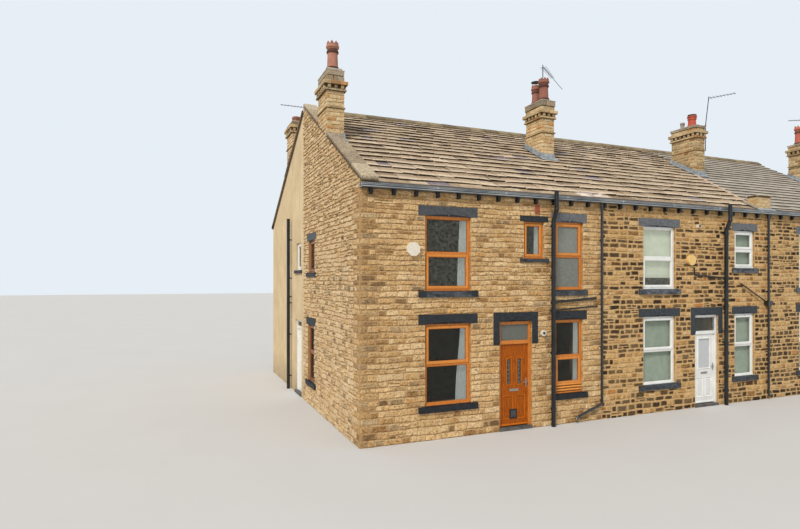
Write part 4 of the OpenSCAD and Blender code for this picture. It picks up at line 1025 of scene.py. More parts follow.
def coping_stone(y0, y1, joint=0.004):
    cols, rows = 8, 9
    rect = np.array([[-COPING_LIP, COPING_W + COPING_LIP, y0 + joint, y1 - joint]])
    heights = COPING_T - rng.uniform(0.0, 0.012, (1, rows, cols))
    heights[:, :, [0, -1]] -= 0.008
    heights[:, [0, -1]] -= 0.003
    solids, faces, rim = tablets(rect, heights, 0.0, 0.0, 0.003, rng, cols, rows)
    x, up, y = solids[0].T
    # The skirt is painted dark, as painted shadow along the stone's lower edge.
    rims = np.zeros(len(x))
    rims[cols * rows:] = 1
    points = np.stack([x, y, roof_z(y) + PARAPET + 0.0003 + up], axis=-1)
    heap.add(points, faces, rng.uniform(0, 1), rng.uniform(0, 0.6), rims)


for a, b in ((COPING_FOOT, stack_0[1]), (stack_0[1] + stack_0[2], MID)):
    count = max(1, round((b - a) / 0.68))
    for k in range(count):
        coping_stone(a + (b - a) * k / count, a + (b - a) * (k + 1) / count)
heap.build("coping_stones", coping_m, stands_for=("gable_coping",))


# Chimney stacks of ashlar courses, with string course, dentils, oversail and cap
# The lower edge of each stone is painted dark as painted shade, and its upper edge pale as painted highlight
BED_RIMS = [0.0 if axis != 2 else 1.0 if corner[2] < 0 else -0.4 for corner, axis in CHAMFER]


def stack_ring(heap, c, z0, z1, out, flip, rng, joint=0.004, deep=0.1, cut=0.004, tone=(0.08, 0.82),
               dirt=(0, 0.2), chop=0.3, width=STACK_W, rough=0.004):
    """One course round a stack: the long sides run to the corners on every other course."""
    x0, x1 = c[0] - out, c[0] + width + out
    y0, y1 = c[1] - out, c[1] + c[2] + out
    lo, hi = [], []

    def run(a, b, across, turn):
        """Stones from a to b on one side, whose place across is given first, or last with turn -1."""
        count = max(1, round((b - a) / chop))
        edges = np.linspace(a, b, count + 1)
        edges[1:-1] += rng.uniform(-0.04, 0.04, count - 1)
        for p, q in zip(edges, edges[1:]):
            lo.append([*[across, p + joint / 2][::turn], z0 + joint / 2])
            hi.append([*[across + deep, q - joint / 2][::turn], z1 - joint / 2])

    inset = 0 if flip else deep
    for x in (x0, x1 - deep):
        run(y0 + inset, y1 - inset, x, 1)
    inset = deep - inset
    for y in (y0, y1 - deep):
        run(x0 + inset, x1 - inset, y, -1)
    heap.boxes(lo, hi, cut, tone, dirt, BED_RIMS, rng=rng, shake=rough)


def solid_box(heap, lo, hi, tone=0.3, soot=0.3, rim=1.0):
    heap.boxes(lo, hi, 0.002, tone, soot, rim)


COURSE_H, DENTIL_H, BELT_H, STRING_H = 0.11, 0.095, 0.065, 0.05
DENTIL = 0.09


def dentil_places(w):
    count = int((w + DENTIL) // (2 * DENTIL))
    start = (w - (2 * count - 1) * DENTIL) / 2
    return [start + 2 * DENTIL * i for i in range(count)]


def stack(heap, c, rng, dirt):
    x, y, d, top, cap_h, block_h = c
    cap_z = top - cap_h
    course_z = cap_z - block_h - COURSE_H
    dentil_z = course_z - DENTIL_H
    belt_z = dentil_z - BELT_H
    high = max(roof_z(y - 0.0123), roof_z(y + d + 0.0123))
    string_z = max(dentil_z - 0.525, high + 0.17)
    core = 0.014
    solid_box(heap, [x + core, y + core, STACK_BASE], [x + STACK_W - core, y + d - core, cap_z],
              0.4, 0.1, 0.25)
    runs = [(STACK_BASE + 0.01, string_z)]
    if belt_z - string_z - STRING_H > 0.05:
        runs.append((string_z + STRING_H, belt_z))
    flip = True
    for levels in runs:
        for z0, z1 in course_levels(levels, 0.112, rng, 0.006):
            stack_ring(heap, c, z0, z1, 0.0, flip, rng, 0.012, cut=0.012, dirt=dirt, chop=0.25, rough=0.008)
            flip = not flip
    stack_ring(heap, c, string_z, string_z + STRING_H, 0.025, flip, rng, cut=0.008, dirt=(0.1, 0.5), chop=0.4)
    stack_ring(heap, c, belt_z, dentil_z, OVERSAIL * 0.6, flip, rng, cut=0.01, dirt=(0.2, 0.6), chop=0.4)
    out = OVERSAIL * 0.7
    lo, hi = [], []
    for p in dentil_places(STACK_W):
        for ya in (y - out, y + d - 0.03):
            lo.append([x + p, ya, dentil_z])
            hi.append([x + p + DENTIL, ya + out + 0.03, course_z])
    for p in dentil_places(d):
        for xa in (x - out, x + STACK_W - 0.03):
            lo.append([xa, y + p, dentil_z])
            hi.append([xa + out + 0.03, y + p + DENTIL, course_z])
    heap.boxes(lo, hi, 0.006, (0, 0.6), (0.2, 0.7), rng=rng, shake=0.004)
    solid_box(heap, [x - 0.002, y - 0.002, dentil_z], [x + STACK_W + 0.002, y + d + 0.002, course_z],
              0.1, 0.9)
    over = course_z + COURSE_H
    stack_ring(heap, c, course_z, over, OVERSAIL, flip, rng, deep=0.2, cut=0.01, dirt=(0.1, 0.5), chop=0.34)
    solid_box(heap, [x - 0.06, y - 0.06, course_z + 0.01], [x + STACK_W + 0.06, y + d + 0.06, course_z + 0.1])
    if block_h:
        stack_ring(heap, c, over, cap_z, 0.0, not flip, rng, dirt=(0.1, 0.5))
    cap(heap, c, cap_z, top, rng)


def cap(heap, c, z0, z1, rng, n=11):
    """The cap: upright courses under a worn, sloping top of mortar."""
    lip, inset = (0.025 if c[5] else 0.0), 0.05
    shoulder = z0 + (z1 - z0) * 0.8
    flip = True
    for a, b in course_levels([z0, shoulder], 0.15, rng, 0.004):
        stack_ring(heap, c, a, b, lip - 0.001, flip, rng, 0.003, 0.2, 0.012, (0.94, 1.0), (0.1, 0.6), 0.36,
                   rough=0.008)
        flip = not flip
    us = np.linspace(0, 1, n)
    gx, gy = np.meshgrid(us, us)
    px, py = c[0] - lip + gx * (STACK_W + 2 * lip), c[1] - lip + gy * (c[2] + 2 * lip)
    reach = np.minimum(np.minimum(px - (c[0] - lip), c[0] + STACK_W + lip - px),
                       np.minimum(py - (c[1] - lip), c[1] + c[2] + lip - py))
    rise = np.clip(reach / (lip + inset), 0, 1)
    pz = shoulder + rise * (z1 - shoulder) - rng.uniform(0, 0.01, (n, n))
    grid = np.stack([px, py, pz], axis=-1).reshape(-1, 3)
    faces, rim = tablet_faces(n, n)
    skirt = grid[rim].copy()
    skirt[:, 2] = shoulder - 0.03
    heap.add(np.concatenate([grid, skirt]), faces, 1.0, 0.25)


for i, c in enumerate(CHIMNEYS):
    heap = Heap()
    stack(heap, c, np.random.default_rng(51 + i), (0.2, 0.7) if i in (2, 3) else (0, 0.2))
    heap.build("chimney_%d" % (i + 1), stone_c, stands_for=() if i else ("chimney_stacks",))


# The stub stack at the eaves, of small stones under a dark slab
rng = np.random.default_rng(58)
heap = Heap()
x, y, w, d = STUB
STUB_FOOT, STUB_TOP, SLAB_TOP = 5.66, 6.25, 6.297
solid_box(heap, [x + 0.006, y + 0.006, STUB_FOOT], [x + w - 0.006, y + d - 0.006, STUB_TOP], 0.4, 0.1, 0.25)
flip = True
for z0, z1 in course_levels([STUB_FOOT + 0.01, STUB_TOP], 0.095, rng, 0.004):
    stack_ring(heap, [x, y, d], z0, z1, 0.0, flip, rng, 0.012, cut=0.012, chop=0.2, width=w, rough=0.008)
    flip = not flip
rough_block(heap, [x - 0.022, y - 0.022, STUB_TOP + 0.003], [x + w + 0.022, y + d + 0.022, SLAB_TOP], rng,
            0.003, 0.004, 0.1, 1.0)
heap.build("stub_stack_stones", stone_c, stands_for=("stub_stack",))


# Finishes of paint, clay, metal, timber and glass
def wood_material(name, dark, mid, light, across=(26, 26, 1.6), rough=(0.28, 0.45), spec=0.35):
    s = Shader(name, rough[0], spec=spec)
    dark, mid, light = (srgb(*c) for c in (dark, mid, light))
    streaks = s.noise(9, 3, 0.6, across, 4)
    both = s.plus(s.times(s.noise(3.2, 6, 0.7, across), 0.65), s.times(streaks, 0.35))
    base = s.ramp(both, (0.34, dark), (0.5, mid), (0.64, light))
    # By the rim value, upper edges are painted pale as painted highlight and lower edges dark as painted
    # shade.
    s.colour(s.rims(base, tuple(min(1.0, c * 1.5) for c in light), tuple(c * 0.25 for c in dark), 0.85))
    s.roughness(streaks, *rough)
    s.bump(both, 0.15, 0.001)
    return s.mat


pipe_m = plain_material("pipe_paint", (13, 15, 17), (44, 47, 48), 7, (0.2, 0.4), spec=0.3, bump=0.2, coat=0.2,
                        stretch=(1, 1, 0.3))
black = plain_material("black_gloss", (14, 15, 17), (30, 31, 32), 5, (0.16, 0.34), spec=0.5, bump=0.15,
                       coat=0.6)


GUTTER_Z, GUTTER_TOP, GUTTER_OUT = 5.69, 5.8, 0.16
# Share of painted highlight at heights up the gutter: bright bands stand in for the sky's reflection on the
# rim and low on the trough
GUTTER_HIGHLIGHTS = [(0.0, 0.05), (0.12, 0.15), (0.2, 0.8), (0.36, 0.8), (0.44, 0.1), (0.58, 0.1), (0.66, 1.0),
                (0.86, 1.0), (0.95, 0.4)]


def gutter_material():
    """Blue-grey gloss paint, with painted highlights along the rim and again low on the trough."""
    s = Shader("gutter_paint", 0.25, spec=0.5)
    base = s.blend(s.noise(4, 4, 0.6, (0.3, 4, 4)), (26, 30, 34), (48, 53, 57))
    # This pale tone is the painted highlight, laid in bands by height.
    worn = s.blend(s.noise(3, 5, 0.7, (0.4, 1, 1), 2), (118, 124, 128), (180, 184, 185), 0.32, 0.62)
    height = s.times(s.math("SUBTRACT", s.axis(2), GUTTER_Z), 10.0)
    s.colour(s.mix(s.ramp(height, *[(at, (v, v, v)) for at, v in GUTTER_HIGHLIGHTS]), base, worn))
    s.roughness(s.noise(60, 4), 0.2, 0.42)
    s.bump(s.noise(60, 4), 0.15, 0.001)
    s.shade(Coat_Weight=0.3, Coat_Roughness=0.08)
    return s.mat


# Where paint changes: after the first house, and from the ground floor to the upper floor
LATER_HOUSES, UPPER_FLOOR = (6.6, 6.7), (2.9, 3.0)


def sill_material():
    """Painted stone sills, near black on the ground floor of the first house and worn pale elsewhere."""
    s = Shader("sill_paint", 0.6, spec=0.3)
    x, z = s.axis(0), s.axis(2)
    wear = s.step(s.noise(5, 5, 0.7, (1, 2, 2)), 0.36, 0.6)
    dark = s.blend(s.noise(9, 4), (22, 25, 29), (42, 46, 51))
    worn = s.blend(s.noise(18, 5, 0.7, (0.6, 2, 2)), (74, 80, 88), (134, 140, 148))
    share = s.plus(s.times(s.step(z, *UPPER_FLOOR), 0.45), s.times(s.step(x, *LATER_HOUSES), 0.4))
    dark_ends = s.plus(s.times(s.step(x, 1.6, 1.58), 0.9),
                       s.times(s.step(x, 2.75, 2.77), s.step(x, 3.3, 3.25), 0.9))
    share = s.times(share, s.math("SUBTRACT", 1.0, dark_ends))
    s.colour(s.mix(s.times(wear, share), dark, worn))
    s.roughness(s.noise(45, 4), 0.5, 0.75)
    s.bump(s.noise(45, 4), 0.5, 0.002)
    return s.mat


def dressing_material():
    """Painted lintels and surrounds: near black on the first house, faded grey high up on the others."""
    s = Shader("dressing_paint", 0.6, spec=0.3)
    x, fleck = s.axis(0), s.noise(14, 5, 0.7)
    dark = s.blend(fleck, (27, 31, 34), (52, 56, 60), 0.32, 0.66)
    later = s.blend(fleck, (42, 48, 53), (66, 72, 78), 0.32, 0.66)
    faded = s.blend(fleck, (84, 87, 91), (116, 118, 121), 0.32, 0.66)
    high = s.step(s.axis(2), 2.95, 3.0)
    base = s.mix(s.step(x, *LATER_HOUSES), dark, later)
    base = s.mix(s.times(high, s.step(x, 3.3, 3.25), 0.42), base, faded)
    s.colour(s.mix(s.times(high, s.step(x, 5.0, 5.05)), base, faded))
    s.roughness(s.noise(45, 4), 0.55, 0.78)
    s.bump(s.noise(45, 5, 0.7), 0.6, 0.002)
    return s.mat


gutter_m = gutter_material()
corbel_m = plain_material("corbel_paint", (13, 15, 17), (30, 33, 36), 9, (0.35, 0.6), bump=0.2)
step_m = plain_material("step_stone", (70, 68, 66), (104, 100, 96), 6, (0.7, 0.9), bump=0.5, fine=50)
floor_m = plain_material("floor_stone", (84, 80, 76), (120, 114, 106), 3, (0.6, 0.8), bump=0.3)
board_m = wood_material("floor_boards", (92, 64, 40), (122, 88, 56), (146, 108, 70), (1.2, 18, 18),
                        (0.5, 0.7))
oak = wood_material("golden_oak", (142, 74, 22), (204, 122, 46), (236, 154, 74))
oak_door = wood_material("door_oak", (98, 40, 0), (160, 78, 3), (204, 112, 16), rough=(0.32, 0.5), spec=0.2)
white = plain_material("white_frame", (222, 223, 219), (240, 240, 236), 4, (0.22, 0.36), spec=0.45, bump=0.05)
steel = plain_material("satin_metal", (150, 150, 148), (186, 186, 182), 30, (0.25, 0.4), metal=1.0, bump=0.1)
lead_m = plain_material("weathered_lead", (104, 112, 120), (182, 188, 190), 7, (0.45, 0.7), bump=0.4,
                        distance=0.002, fine=30)
aerial_m = plain_material("aerial_metal", (26, 30, 36), (48, 53, 60), 12, (0.35, 0.55), metal=0.3)
bevel_m = plain_material("bevelled_glass", (132, 126, 108), (222, 216, 198), 60, (0.05, 0.2), spec=0.5)
cowl_m = plain_material("cowl_paint", (34, 44, 40), (56, 66, 60), 12, (0.5, 0.7), bump=0.3)
rubber = plain_material("black_plastic", (20, 20, 21), (34, 34, 36), 20, (0.4, 0.6))
lens_m = plain_material("lamp_lens", (40, 42, 46), (70, 72, 78), 20, (0.08, 0.15), spec=0.5, coat=0.5)
# The cloth and slats behind the panes are given emission: painted light standing in for daylight coming
# through them in the dark rooms.
curtain_m = plain_material("white_cloth", (224, 226, 224), (240, 241, 238), 12, (0.85, 0.95), spec=0.1,
                           bump=0.4, distance=0.0006, fine=900, painted_glow=((222, 234, 228), 0.3))
blind_m = plain_material("blind_cloth", (186, 196, 176), (204, 212, 192), 6, (0.8, 0.92), spec=0.15,
                         bump=0.3, distance=0.0005, fine=700, painted_glow=((204, 210, 190), 0.34))
slat_m = plain_material("blind_slats", (172, 186, 168), (194, 206, 188), 6, (0.4, 0.6), bump=0.1,
                        painted_glow=((178, 194, 176), 0.08))
brick_m = plain_material("air_brick_clay", (164, 88, 66), (200, 120, 92), 20, (0.8, 0.95), bump=0.6, fine=90)
fillet_m = plain_material("mortar_fillet", (186, 160, 136), (214, 190, 168), 9, (0.85, 0.95), bump=0.7,
                          fine=60, distance=0.003)


def render_material():
    """Cream painted render with rain streaks and a rough float finish."""
    s = Shader("cream_render", 0.9, spec=0.2)
    base = s.blend(s.noise(1.3, 5, 0.6), (201, 177, 138), (221, 198, 159))
    streak = s.step(s.noise(2.2, 5, 0.65, (3, 3, 0.18), 2), 0.5, 0.8)
    base = s.mix(s.times(streak, 0.35), base, srgb(150, 128, 98))
    low = s.times(s.step(s.axis(2), 0.9, 0.0), s.noise(4, 4, 0.7))
    s.colour(s.mix(low, base, srgb(132, 116, 92)))
    grit = s.noise(160, 5, 0.8)
    s.roughness(grit, 0.85, 0.97)
    s.bump(s.plus(grit, s.times(s.noise(7, 3), 1.5)), 0.5, 0.003)
    return s.mat


def pot_material():
    """Fired clay: the tone picks the colour of each ring."""
    s = Shader("fired_clay", 0.8, spec=0.3)
    clays = [(58, 42, 36), (140, 88, 74), (186, 132, 110), (196, 88, 68), (164, 158, 150)]
    base = s.ramp(s.attribute("tone"), *[(i / 4, srgb(*c)) for i, c in enumerate(clays)])
    grime = s.step(s.noise(9, 5, 0.7, (1, 1, 0.4)), 0.45, 0.75)
    s.colour(s.mix(s.times(grime, 0.45), base, srgb(84, 60, 48)))
    s.roughness(s.noise(50, 4), 0.65, 0.9)
    s.bump(s.noise(70, 5, 0.7), 0.4, 0.002)
    return s.mat


# The panes under the two roller blinds: the window's middle along the row and the blind's lower edge
PANE_FOOT, BLIND_FEET = 3.3, ((PARTY[0] + 1.755, 3.74), (PARTY[1] + 1.755, 4.06))


def glass_material():
    """Window glass coloured near black as painted shade of the rooms behind, with paler mottles as painted
    reflection; obscured by its tone and clearest where its soot value marks a blind behind.
    """
    s = Shader("window_glass", 0.04, spec=0.5)
    tone, x, z = s.attribute("tone"), s.axis(0), s.axis(2)
    clear = s.ramp(s.noise(13, 7, 0.8), (0.4, (0.008, 0.009, 0.006)), (0.6, (0.17, 0.17, 0.13)))
    frost = s.blend(s.noise(70, 4, 0.75), (104, 108, 100), (166, 170, 158), 0.36, 0.64)
    # Panes on the ground floor are painted darker still.
    clear = s.mix(s.times(s.step(z, 2.9, 2.8), 0.75), clear, (0.003, 0.004, 0.004))
    s.colour(s.mix(tone, clear, frost))
    s.roughness(tone, 0.03, 0.4)
    held = s.plus(s.times(tone, 0.64), 0.36)
    for x0, top in BLIND_FEET:
        near = s.math("LESS_THAN", s.math("ABSOLUTE", s.math("SUBTRACT", x, x0)), 0.6)
        held = s.plus(held, s.times(near, s.within(z, PANE_FOOT, top), 0.6))
    s.shade(Alpha=s.math("SUBTRACT", held, s.times(s.attribute("soot"), 0.26)))
    s.bump(s.noise(2.5, 2), 0.05, 0.002)
    return s.mat


def wall_material():
    """Mortar outside, dull plaster on the faces inside the rooms."""
    mat = mortar_1.copy()
    mat.name = "mortar_and_plaster"
    s, shown = taken_up(mat)
    x, y, skin = s.axis(0), s.axis(1), 0.004
    inside = s.times(s.within(x, WALL - skin, PARTY[2] + skin), s.within(y, WALL - skin, DEPTH - WALL + skin))
    plaster = s.blend(s.noise(2, 3), (150, 142, 130), (172, 164, 150))
    pointing = s.blend(s.noise(30, 4, 0.7), (178, 142, 96), (216, 180, 128), 0.35, 0.6)
    mortar = s.mix(s.step(x, PARTY[0] - 0.34, PARTY[0] - 0.28), shown, pointing)
    s.colour(s.mix(inside, mortar, plaster))
    return mat


OCHRE_CASE = 9.7, 10.15


def fittings_material():
    """White cases, and the round box on the second house in yellow ochre."""
    s = Shader("fitting_cases", 0.4, spec=0.4)
    wear = s.noise(18, 4)
    pale = s.blend(wear, (222, 212, 192), (238, 230, 212))
    warm = s.blend(wear, (224, 182, 106), (240, 206, 136))
    s.colour(s.mix(s.within(s.axis(0), *OCHRE_CASE), pale, warm))
    s.roughness(s.noise(60, 3), 0.3, 0.5)
    s.bump(wear, 0.05, 0.001)
    return s.mat


def gable_frame_material():
    """Brown stained frames in the stone half of the gable, white ones in the rendered half."""
    s = Shader("gable_frames", 0.35, spec=0.45)
    grain = s.noise(3.2, 6, 0.7, (26, 26, 1.6))
    brown = s.blend(grain, (104, 56, 26), (152, 90, 48), 0.34, 0.64)
    pale = s.blend(grain, (222, 223, 219), (240, 240, 236))
    s.colour(s.mix(s.step(s.axis(1), MID - 0.02, MID), brown, pale))
    s.roughness(grain, 0.3, 0.45)
    s.bump(grain, 0.12, 0.001)
    return s.mat


def finish(material, names):
    """Gives nodes of the frame their material."""
    for name in names.split():
        slots = nodes[name].data.materials
        slots.clear()
        slots.append(material)


render_m, pot_m, glass_m = render_material(), pot_material(), glass_material()
gable_frames = gable_frame_material()
finish(wall_material(), "front_wall front_wall_over_doors gable_wall_stone party_walls end_wall")
finish(render_m, "gable_wall_rendered rear_wall")
finish(floor_m, "ground_floor")
finish(board_m, "first_floor")
finish(gutter_m, "gutters")
finish(lead_m, "chimney_leads")
finish(dressing_material(), "window_lintels door_surrounds gable_lintels")
finish(sill_material(), "window_sills side_sills")
finish(oak, "window_frames_house_1 door_frame_1")
finish(oak_door, "door_leaf_1")
finish(white, "window_frames_house_2 window_frames_house_3 window_frames_rear")
finish(white, "door_frame_2 door_leaf_2 fixed_doors")
finish(gable_frames, "window_frames_gable")
finish(steel, "door_fittings_1 door_fittings_2 hinge_plates")
finish(step_m, "door_steps")
finish(pipe_m, "soil_pipes waste_pipes")
finish(black, "downpipes")
finish(fittings_material(), "wall_fittings")
finish(cowl_m, "pot_cowl")
finish(aerial_m, "aerials")

# Corbels under the gutters, trimmed a little within the plain ones
CORBEL_W = 0.09


def trimmed(points):
    out = points.copy()
    edges = {round(x, 3) for x in points[:, 0]}
    for i, x in enumerate(points[:, 0]):
        middle = x + CORBEL_W / 2 if round(x + CORBEL_W, 3) in edges else x - CORBEL_W / 2
        out[i, 0] = middle + (x - middle) * 0.84
    low = out[:, 2] < GUTTER_Z - 0.01
    out[low, 2] = GUTTER_Z - (GUTTER_Z - out[low, 2]) * 0.8
    front = (out[:, 1] < -0.002) & (out[:, 1] > -1)
    out[front, 1] *= 0.8
    rear = out[:, 1] > DEPTH + 0.002
    out[rear, 1] = DEPTH + (out[rear, 1] - DEPTH) * 0.8
    return out


heap = Heap()
heap.node("eaves_corbels", trimmed)
heap.build("gutter_corbels", corbel_m, stands_for=("eaves_corbels",))

# Chimney pots are [stack, how far back on it, height, tones of their five rings from the foot up]
POTS = [
    [0, 0.30, 0.77, (0.05, 0.45, 0.05, 0.5, 0.38)],
    [1, 0.23, 0.72, (0.1, 0.3, 0.05, 0.33, 0.28)],
    [1, 0.645, 0.60, (0.1, 0.33, 0.1, 0.35, 0.3)],
    [2, 0.34, 0.43, (0.7, 0.75, 0.7, 0.72, 0.05)],
    [2, 0.75, 0.24, (1.0, 1.0, 1.0, 1.0, 0.95)],
    [3, 0.756, 0.78, (0.1, 0.66, 0.15, 0.68, 0.55)],
    [4, 0.5, 0.23, (0.4, 0.45, 0.4, 0.45, 0.3)],
]
RING_TOPS = (0.1, 0.565, 0.72, 0.855)
points, faces = node_mesh("chimney_pots")
tones = np.zeros(len(points))
for i, p in enumerate(points):
    stack_at, back, height, rings = min(POTS, key=lambda q: math.hypot(
        p[0] - CHIMNEYS[q[0]][0] - STACK_W / 2, p[1] - CHIMNEYS[q[0]][1] - q[1]))
    share = (p[2] - CHIMNEYS[stack_at][3]) / height
    tones[i] = rings[sum(share >= top for top in RING_TOPS)]
heap = Heap()
heap.add(points, faces, tones)
heap.build("clay_pots", pot_m, stands_for=("chimney_pots",), smooth=35)


# Window glass, with the obscured panes marked
def panes(name, node, frosted):
    points, faces = node_mesh(node)
    x, y, z = points.T
    tones = np.zeros(len(points))
    for a, b, z0, z1, tone in frosted:
        tones[(x > a) & (x < b) & (z > z0) & (z < z1) & (y < MID)] = tone
    heap = Heap()
    heap.add(points, faces, tones, np.where((x > PARTY[0]) & (y < MID), 1.0, 0.0))
    heap.build(name, glass_m, stands_for=(node,))


# Obscured panes are [left, right, foot, top, share obscured]: over the doors and in one upper window
frosted = [[u - 0.5, u + 0.5, 2.1, 2.7, 0.6 if k == 0 else 0.35] for k, u in enumerate(DOOR_U)]
frosted += [[5.2, 6.2, 3.4, 4.29, 0.72], [5.2, 6.2, 4.29, 5.2, 0.85]]
panes("panes_front", "window_glass_front", frosted)
panes("panes_gable_and_rear", "window_glass_rear", [])
for name, dark, light in (("door_glass_1", (28.579, 32.730, 35.233), (63.189, 60.553, 56.334)),
                          ("door_glass_2", (176, 180, 182), (206, 209, 210))):
    finish(plain_material(name, dark, light, 30, (0.05, 0.2), spec=0.5, bump=0.1), name)


def lights(o):
    """The lights of a window, the lower first, as [u0, u1, z0, z1]."""
    a, b = ends(o, FRAME_W)
    h = o[3] - o[2]
    half = (h - FRAME_W) / 2
    if h < 1.0:
        return [[a, b, o[2] + FRAME_W, o[3] - FRAME_W]]
    return [[a, b, o[2] + o[6], o[2] + half], [a, b, o[2] + half + FRAME_W, o[3] - FRAME_W]]


def ring(heap, wall, rect, profile, rise=(0.0, 0.0), rims=None):
    """A mitred frame of members; profile points are (inset from the rectangle, depth), and the
    top rises at its left and right ends."""
    k = len(profile)
    corners = [(rect[0], rect[2], 1, 1), (rect[1], rect[2], -1, 1), (rect[1], rect[3] + rise[1], -1, -1),
               (rect[0], rect[3] + rise[0], 1, -1)]
    points = [[u + su * inset, depth, v + sv * inset] for u, v, su, sv in corners for inset, depth in profile]
    faces = [(c * k + i, c * k + (i + 1) % k, ((c + 1) % 4) * k + (i + 1) % k, ((c + 1) % 4) * k + i)
             for c in range(4) for i in range(k)]
    heap.add(wall(np.array(points)), faces, 0.5, 0.0, 0.0 if rims is None else np.tile(rims, 4))


def sash(heap, wall, light, opens):
    a, b, z0, z1 = light
    # Rim values paint shade and highlight along the sash profiles, where the finish reads them.
    if opens:
        front, back = RECESS - 0.018, RECESS + 0.03
        rect = [a - 0.016, b + 0.016, z0 - 0.016, z1 + 0.016]
        ring(heap, wall, rect, [(0, RECESS - 0.001), (0, front + 0.006), (0.006, front), (0.052, front),
                                (0.070, front + 0.014), (0.072, back), (0.018, back)],
             rims=[0.6, 0.3, -0.2, -0.2, 0.2, 0.7, 0.3])
    else:
        ring(heap, wall, light, [(-0.002, RECESS - 0.003), (0.012, RECESS + 0.008), (0.018, RECESS + 0.02),
                                 (0, RECESS + 0.02)], rims=[0.0, 0.3, 0.7, 0.5])


def sub_sill(heap, wall, o):
    a, b = ends(o, 0.004)
    heap.boxes([a, RECESS - 0.032, o[2] + 0.001], [b, RECESS + 0.002, o[2] + 0.034], 0.005, wall=wall)


def sashes(name, wall, windows, openers, material):
    """openers says for each window which light opens: 0 the lower, 1 the upper, 2 both."""
    heap = Heap()
    for o, which in zip(windows, openers):
        found = lights(o)
        for i, light in enumerate(found):
            sash(heap, wall, light, len(found) == 1 or which in (i, 2))
        sub_sill(heap, wall, o)
    if name == "sashes_house_1":
        o = windows[4]
        a, b = ends(o, 0.012)
        # Each board is painted dark at its foot as painted shade and pale at its top as painted highlight.
        rims = [0.9 if corner[2] < 0 else -0.8 for corner, axis in CHAMFER]
        for k in range(3):
            z = o[2] + 0.036 + k * 0.07
            heap.boxes([a, RECESS - 0.02, z], [b, RECESS + 0.002, z + 0.066], 0.016, rims=rims)
    heap.build(name, material)


sashes("sashes_house_1", on_front, HOUSE_1, [0, 1, 0, 1, 0], oak)
sashes("sashes_house_2", on_front, HOUSE_2, [0, 1, 2, 1], white)
sashes("sashes_house_3", on_front, HOUSE_3, [0, 1, 2, 1], white)
sashes("sashes_gable", on_gable, [GABLE_UP, GABLE_LOW, GABLE_SMALL], [0, 1, 0], gable_frames)
sashes("sashes_rear", on_rear, REAR_WINDOWS, [0, 1, 0, 1, 0] + [0, 1, 2, 1] * 2, white)


# Cloth and slats behind the panes
def rod(heap, a, b, r, tone=0.5, sides=12):
    """A round bar between two points, with slightly domed ends."""
    a, b = np.array(a, float), np.array(b, float)
    d = (b - a) / np.linalg.norm(b - a)
    side = np.cross(d, [0, 0, 1] if abs(d[2]) < 0.9 else [1, 0, 0])
    side /= np.linalg.norm(side)
    up = np.cross(d, side)
    turn = np.linspace(0, 2 * math.pi, sides, endpoint=False)
    circle = np.cos(turn)[:, None] * side + np.sin(turn)[:, None] * up
    end, dome = circle * r * 0.7, d * r * 0.3
    rows = [a + end, a + dome + circle * r, b - dome + circle * r, b + end]
    heap.add(np.concatenate(rows), tube_faces(sides, 4), tone)


def bar_across(heap, o, y, z, r):
    """A round bar from end to end of an opening."""
    a, b = ends(o, 0.004)
    rod(heap, [a, y, z], [b, y, z], r)


def cloth(name, grid, material):
    """A thin closed sheet through a grid of points."""
    rows, cols = grid.shape[:2]
    back = grid + [0, 0.0012, 0]
    faces, rim = tablet_faces(cols, rows)
    quads = faces[:(rows - 1) * (cols - 1)]
    total, k = rows * cols, len(rim)
    faces = quads + [tuple(i + total for i in q[::-1]) for q in quads]
    faces += [(rim[i], rim[(i + 1) % k], rim[(i + 1) % k] + total, rim[i] + total) for i in range(k)]
    heap = Heap()
    heap.add(np.concatenate([grid.reshape(-1, 3), back.reshape(-1, 3)]), faces)
    piece = heap.build(name, material, smooth=60)


CLOTH_D = RECESS + FRAME_D + 0.045


def curtain(name, o, top_w, waist_w, folds, seed):
    """A gathered curtain at the right of a window, drawn in towards its foot."""
    rng = np.random.default_rng(seed)
    rows, cols = 14, folds * 8 + 1
    z = np.linspace(o[3] - 0.055, o[2] + 0.01, rows)
    share = np.linspace(0, 1, cols)
    phase = rng.uniform(-0.35, 0.35, cols)
    right = ends(o, 0.012)[1]
    grid = np.zeros((rows, cols, 3))
    for r in range(rows):
        down = r / (rows - 1)
        width = top_w + (waist_w - top_w) * math.sin(down * math.pi / 2) ** 1.5
        wave = np.sin(2 * math.pi * folds * share + phase * down)
        grid[r, :, 0] = right - width * (1 - share)
        grid[r, :, 1] = CLOTH_D + 0.03 + (0.02 + 0.008 * down) * wave
        grid[r, :, 2] = z[r]
    width = float(np.linalg.norm(np.diff(grid[0], axis=0), axis=1).sum())
    cloth(name, grid, curtain_m)


heap = Heap()
for o in HOUSE_1[:3] + HOUSE_1[4:]:
    bar_across(heap, o, CLOTH_D + 0.02, o[3] - 0.045, 0.008)
heap.build("curtain_rods", steel)
curtain("curtain_upper", HOUSE_1[0], 0.19, 0.25, 5, 61)
curtain("curtain_lower", HOUSE_1[1], 0.17, 0.30, 6, 62)
curtain("curtain_small", HOUSE_1[2], 0.14, 0.15, 4, 63)
curtain("curtain_narrow", HOUSE_1[4], 0.135, 0.145, 4, 64)


def roller_blind(name, o, drop):
    a, b = ends(o, 0.02)
    zs = np.linspace(o[3] - 0.03, o[3] - drop, 9)
    grid = np.zeros((9, 9, 3))
    grid[..., 0] = np.linspace(a, b, 9)[None, :]
    grid[..., 1] = CLOTH_D + 0.003 * np.sin(np.linspace(0, math.pi, 9))[None, :]
    grid[..., 2] = zs[:, None]
    cloth(name, grid, blind_m)


SLAT_STEP = 0.021
SLAT = [(-0.010, -0.0105), (-0.009, -0.0118), (0.0, 0.0), (0.010, 0.0095), (0.009, 0.0112), (-0.001, 0.0016)]


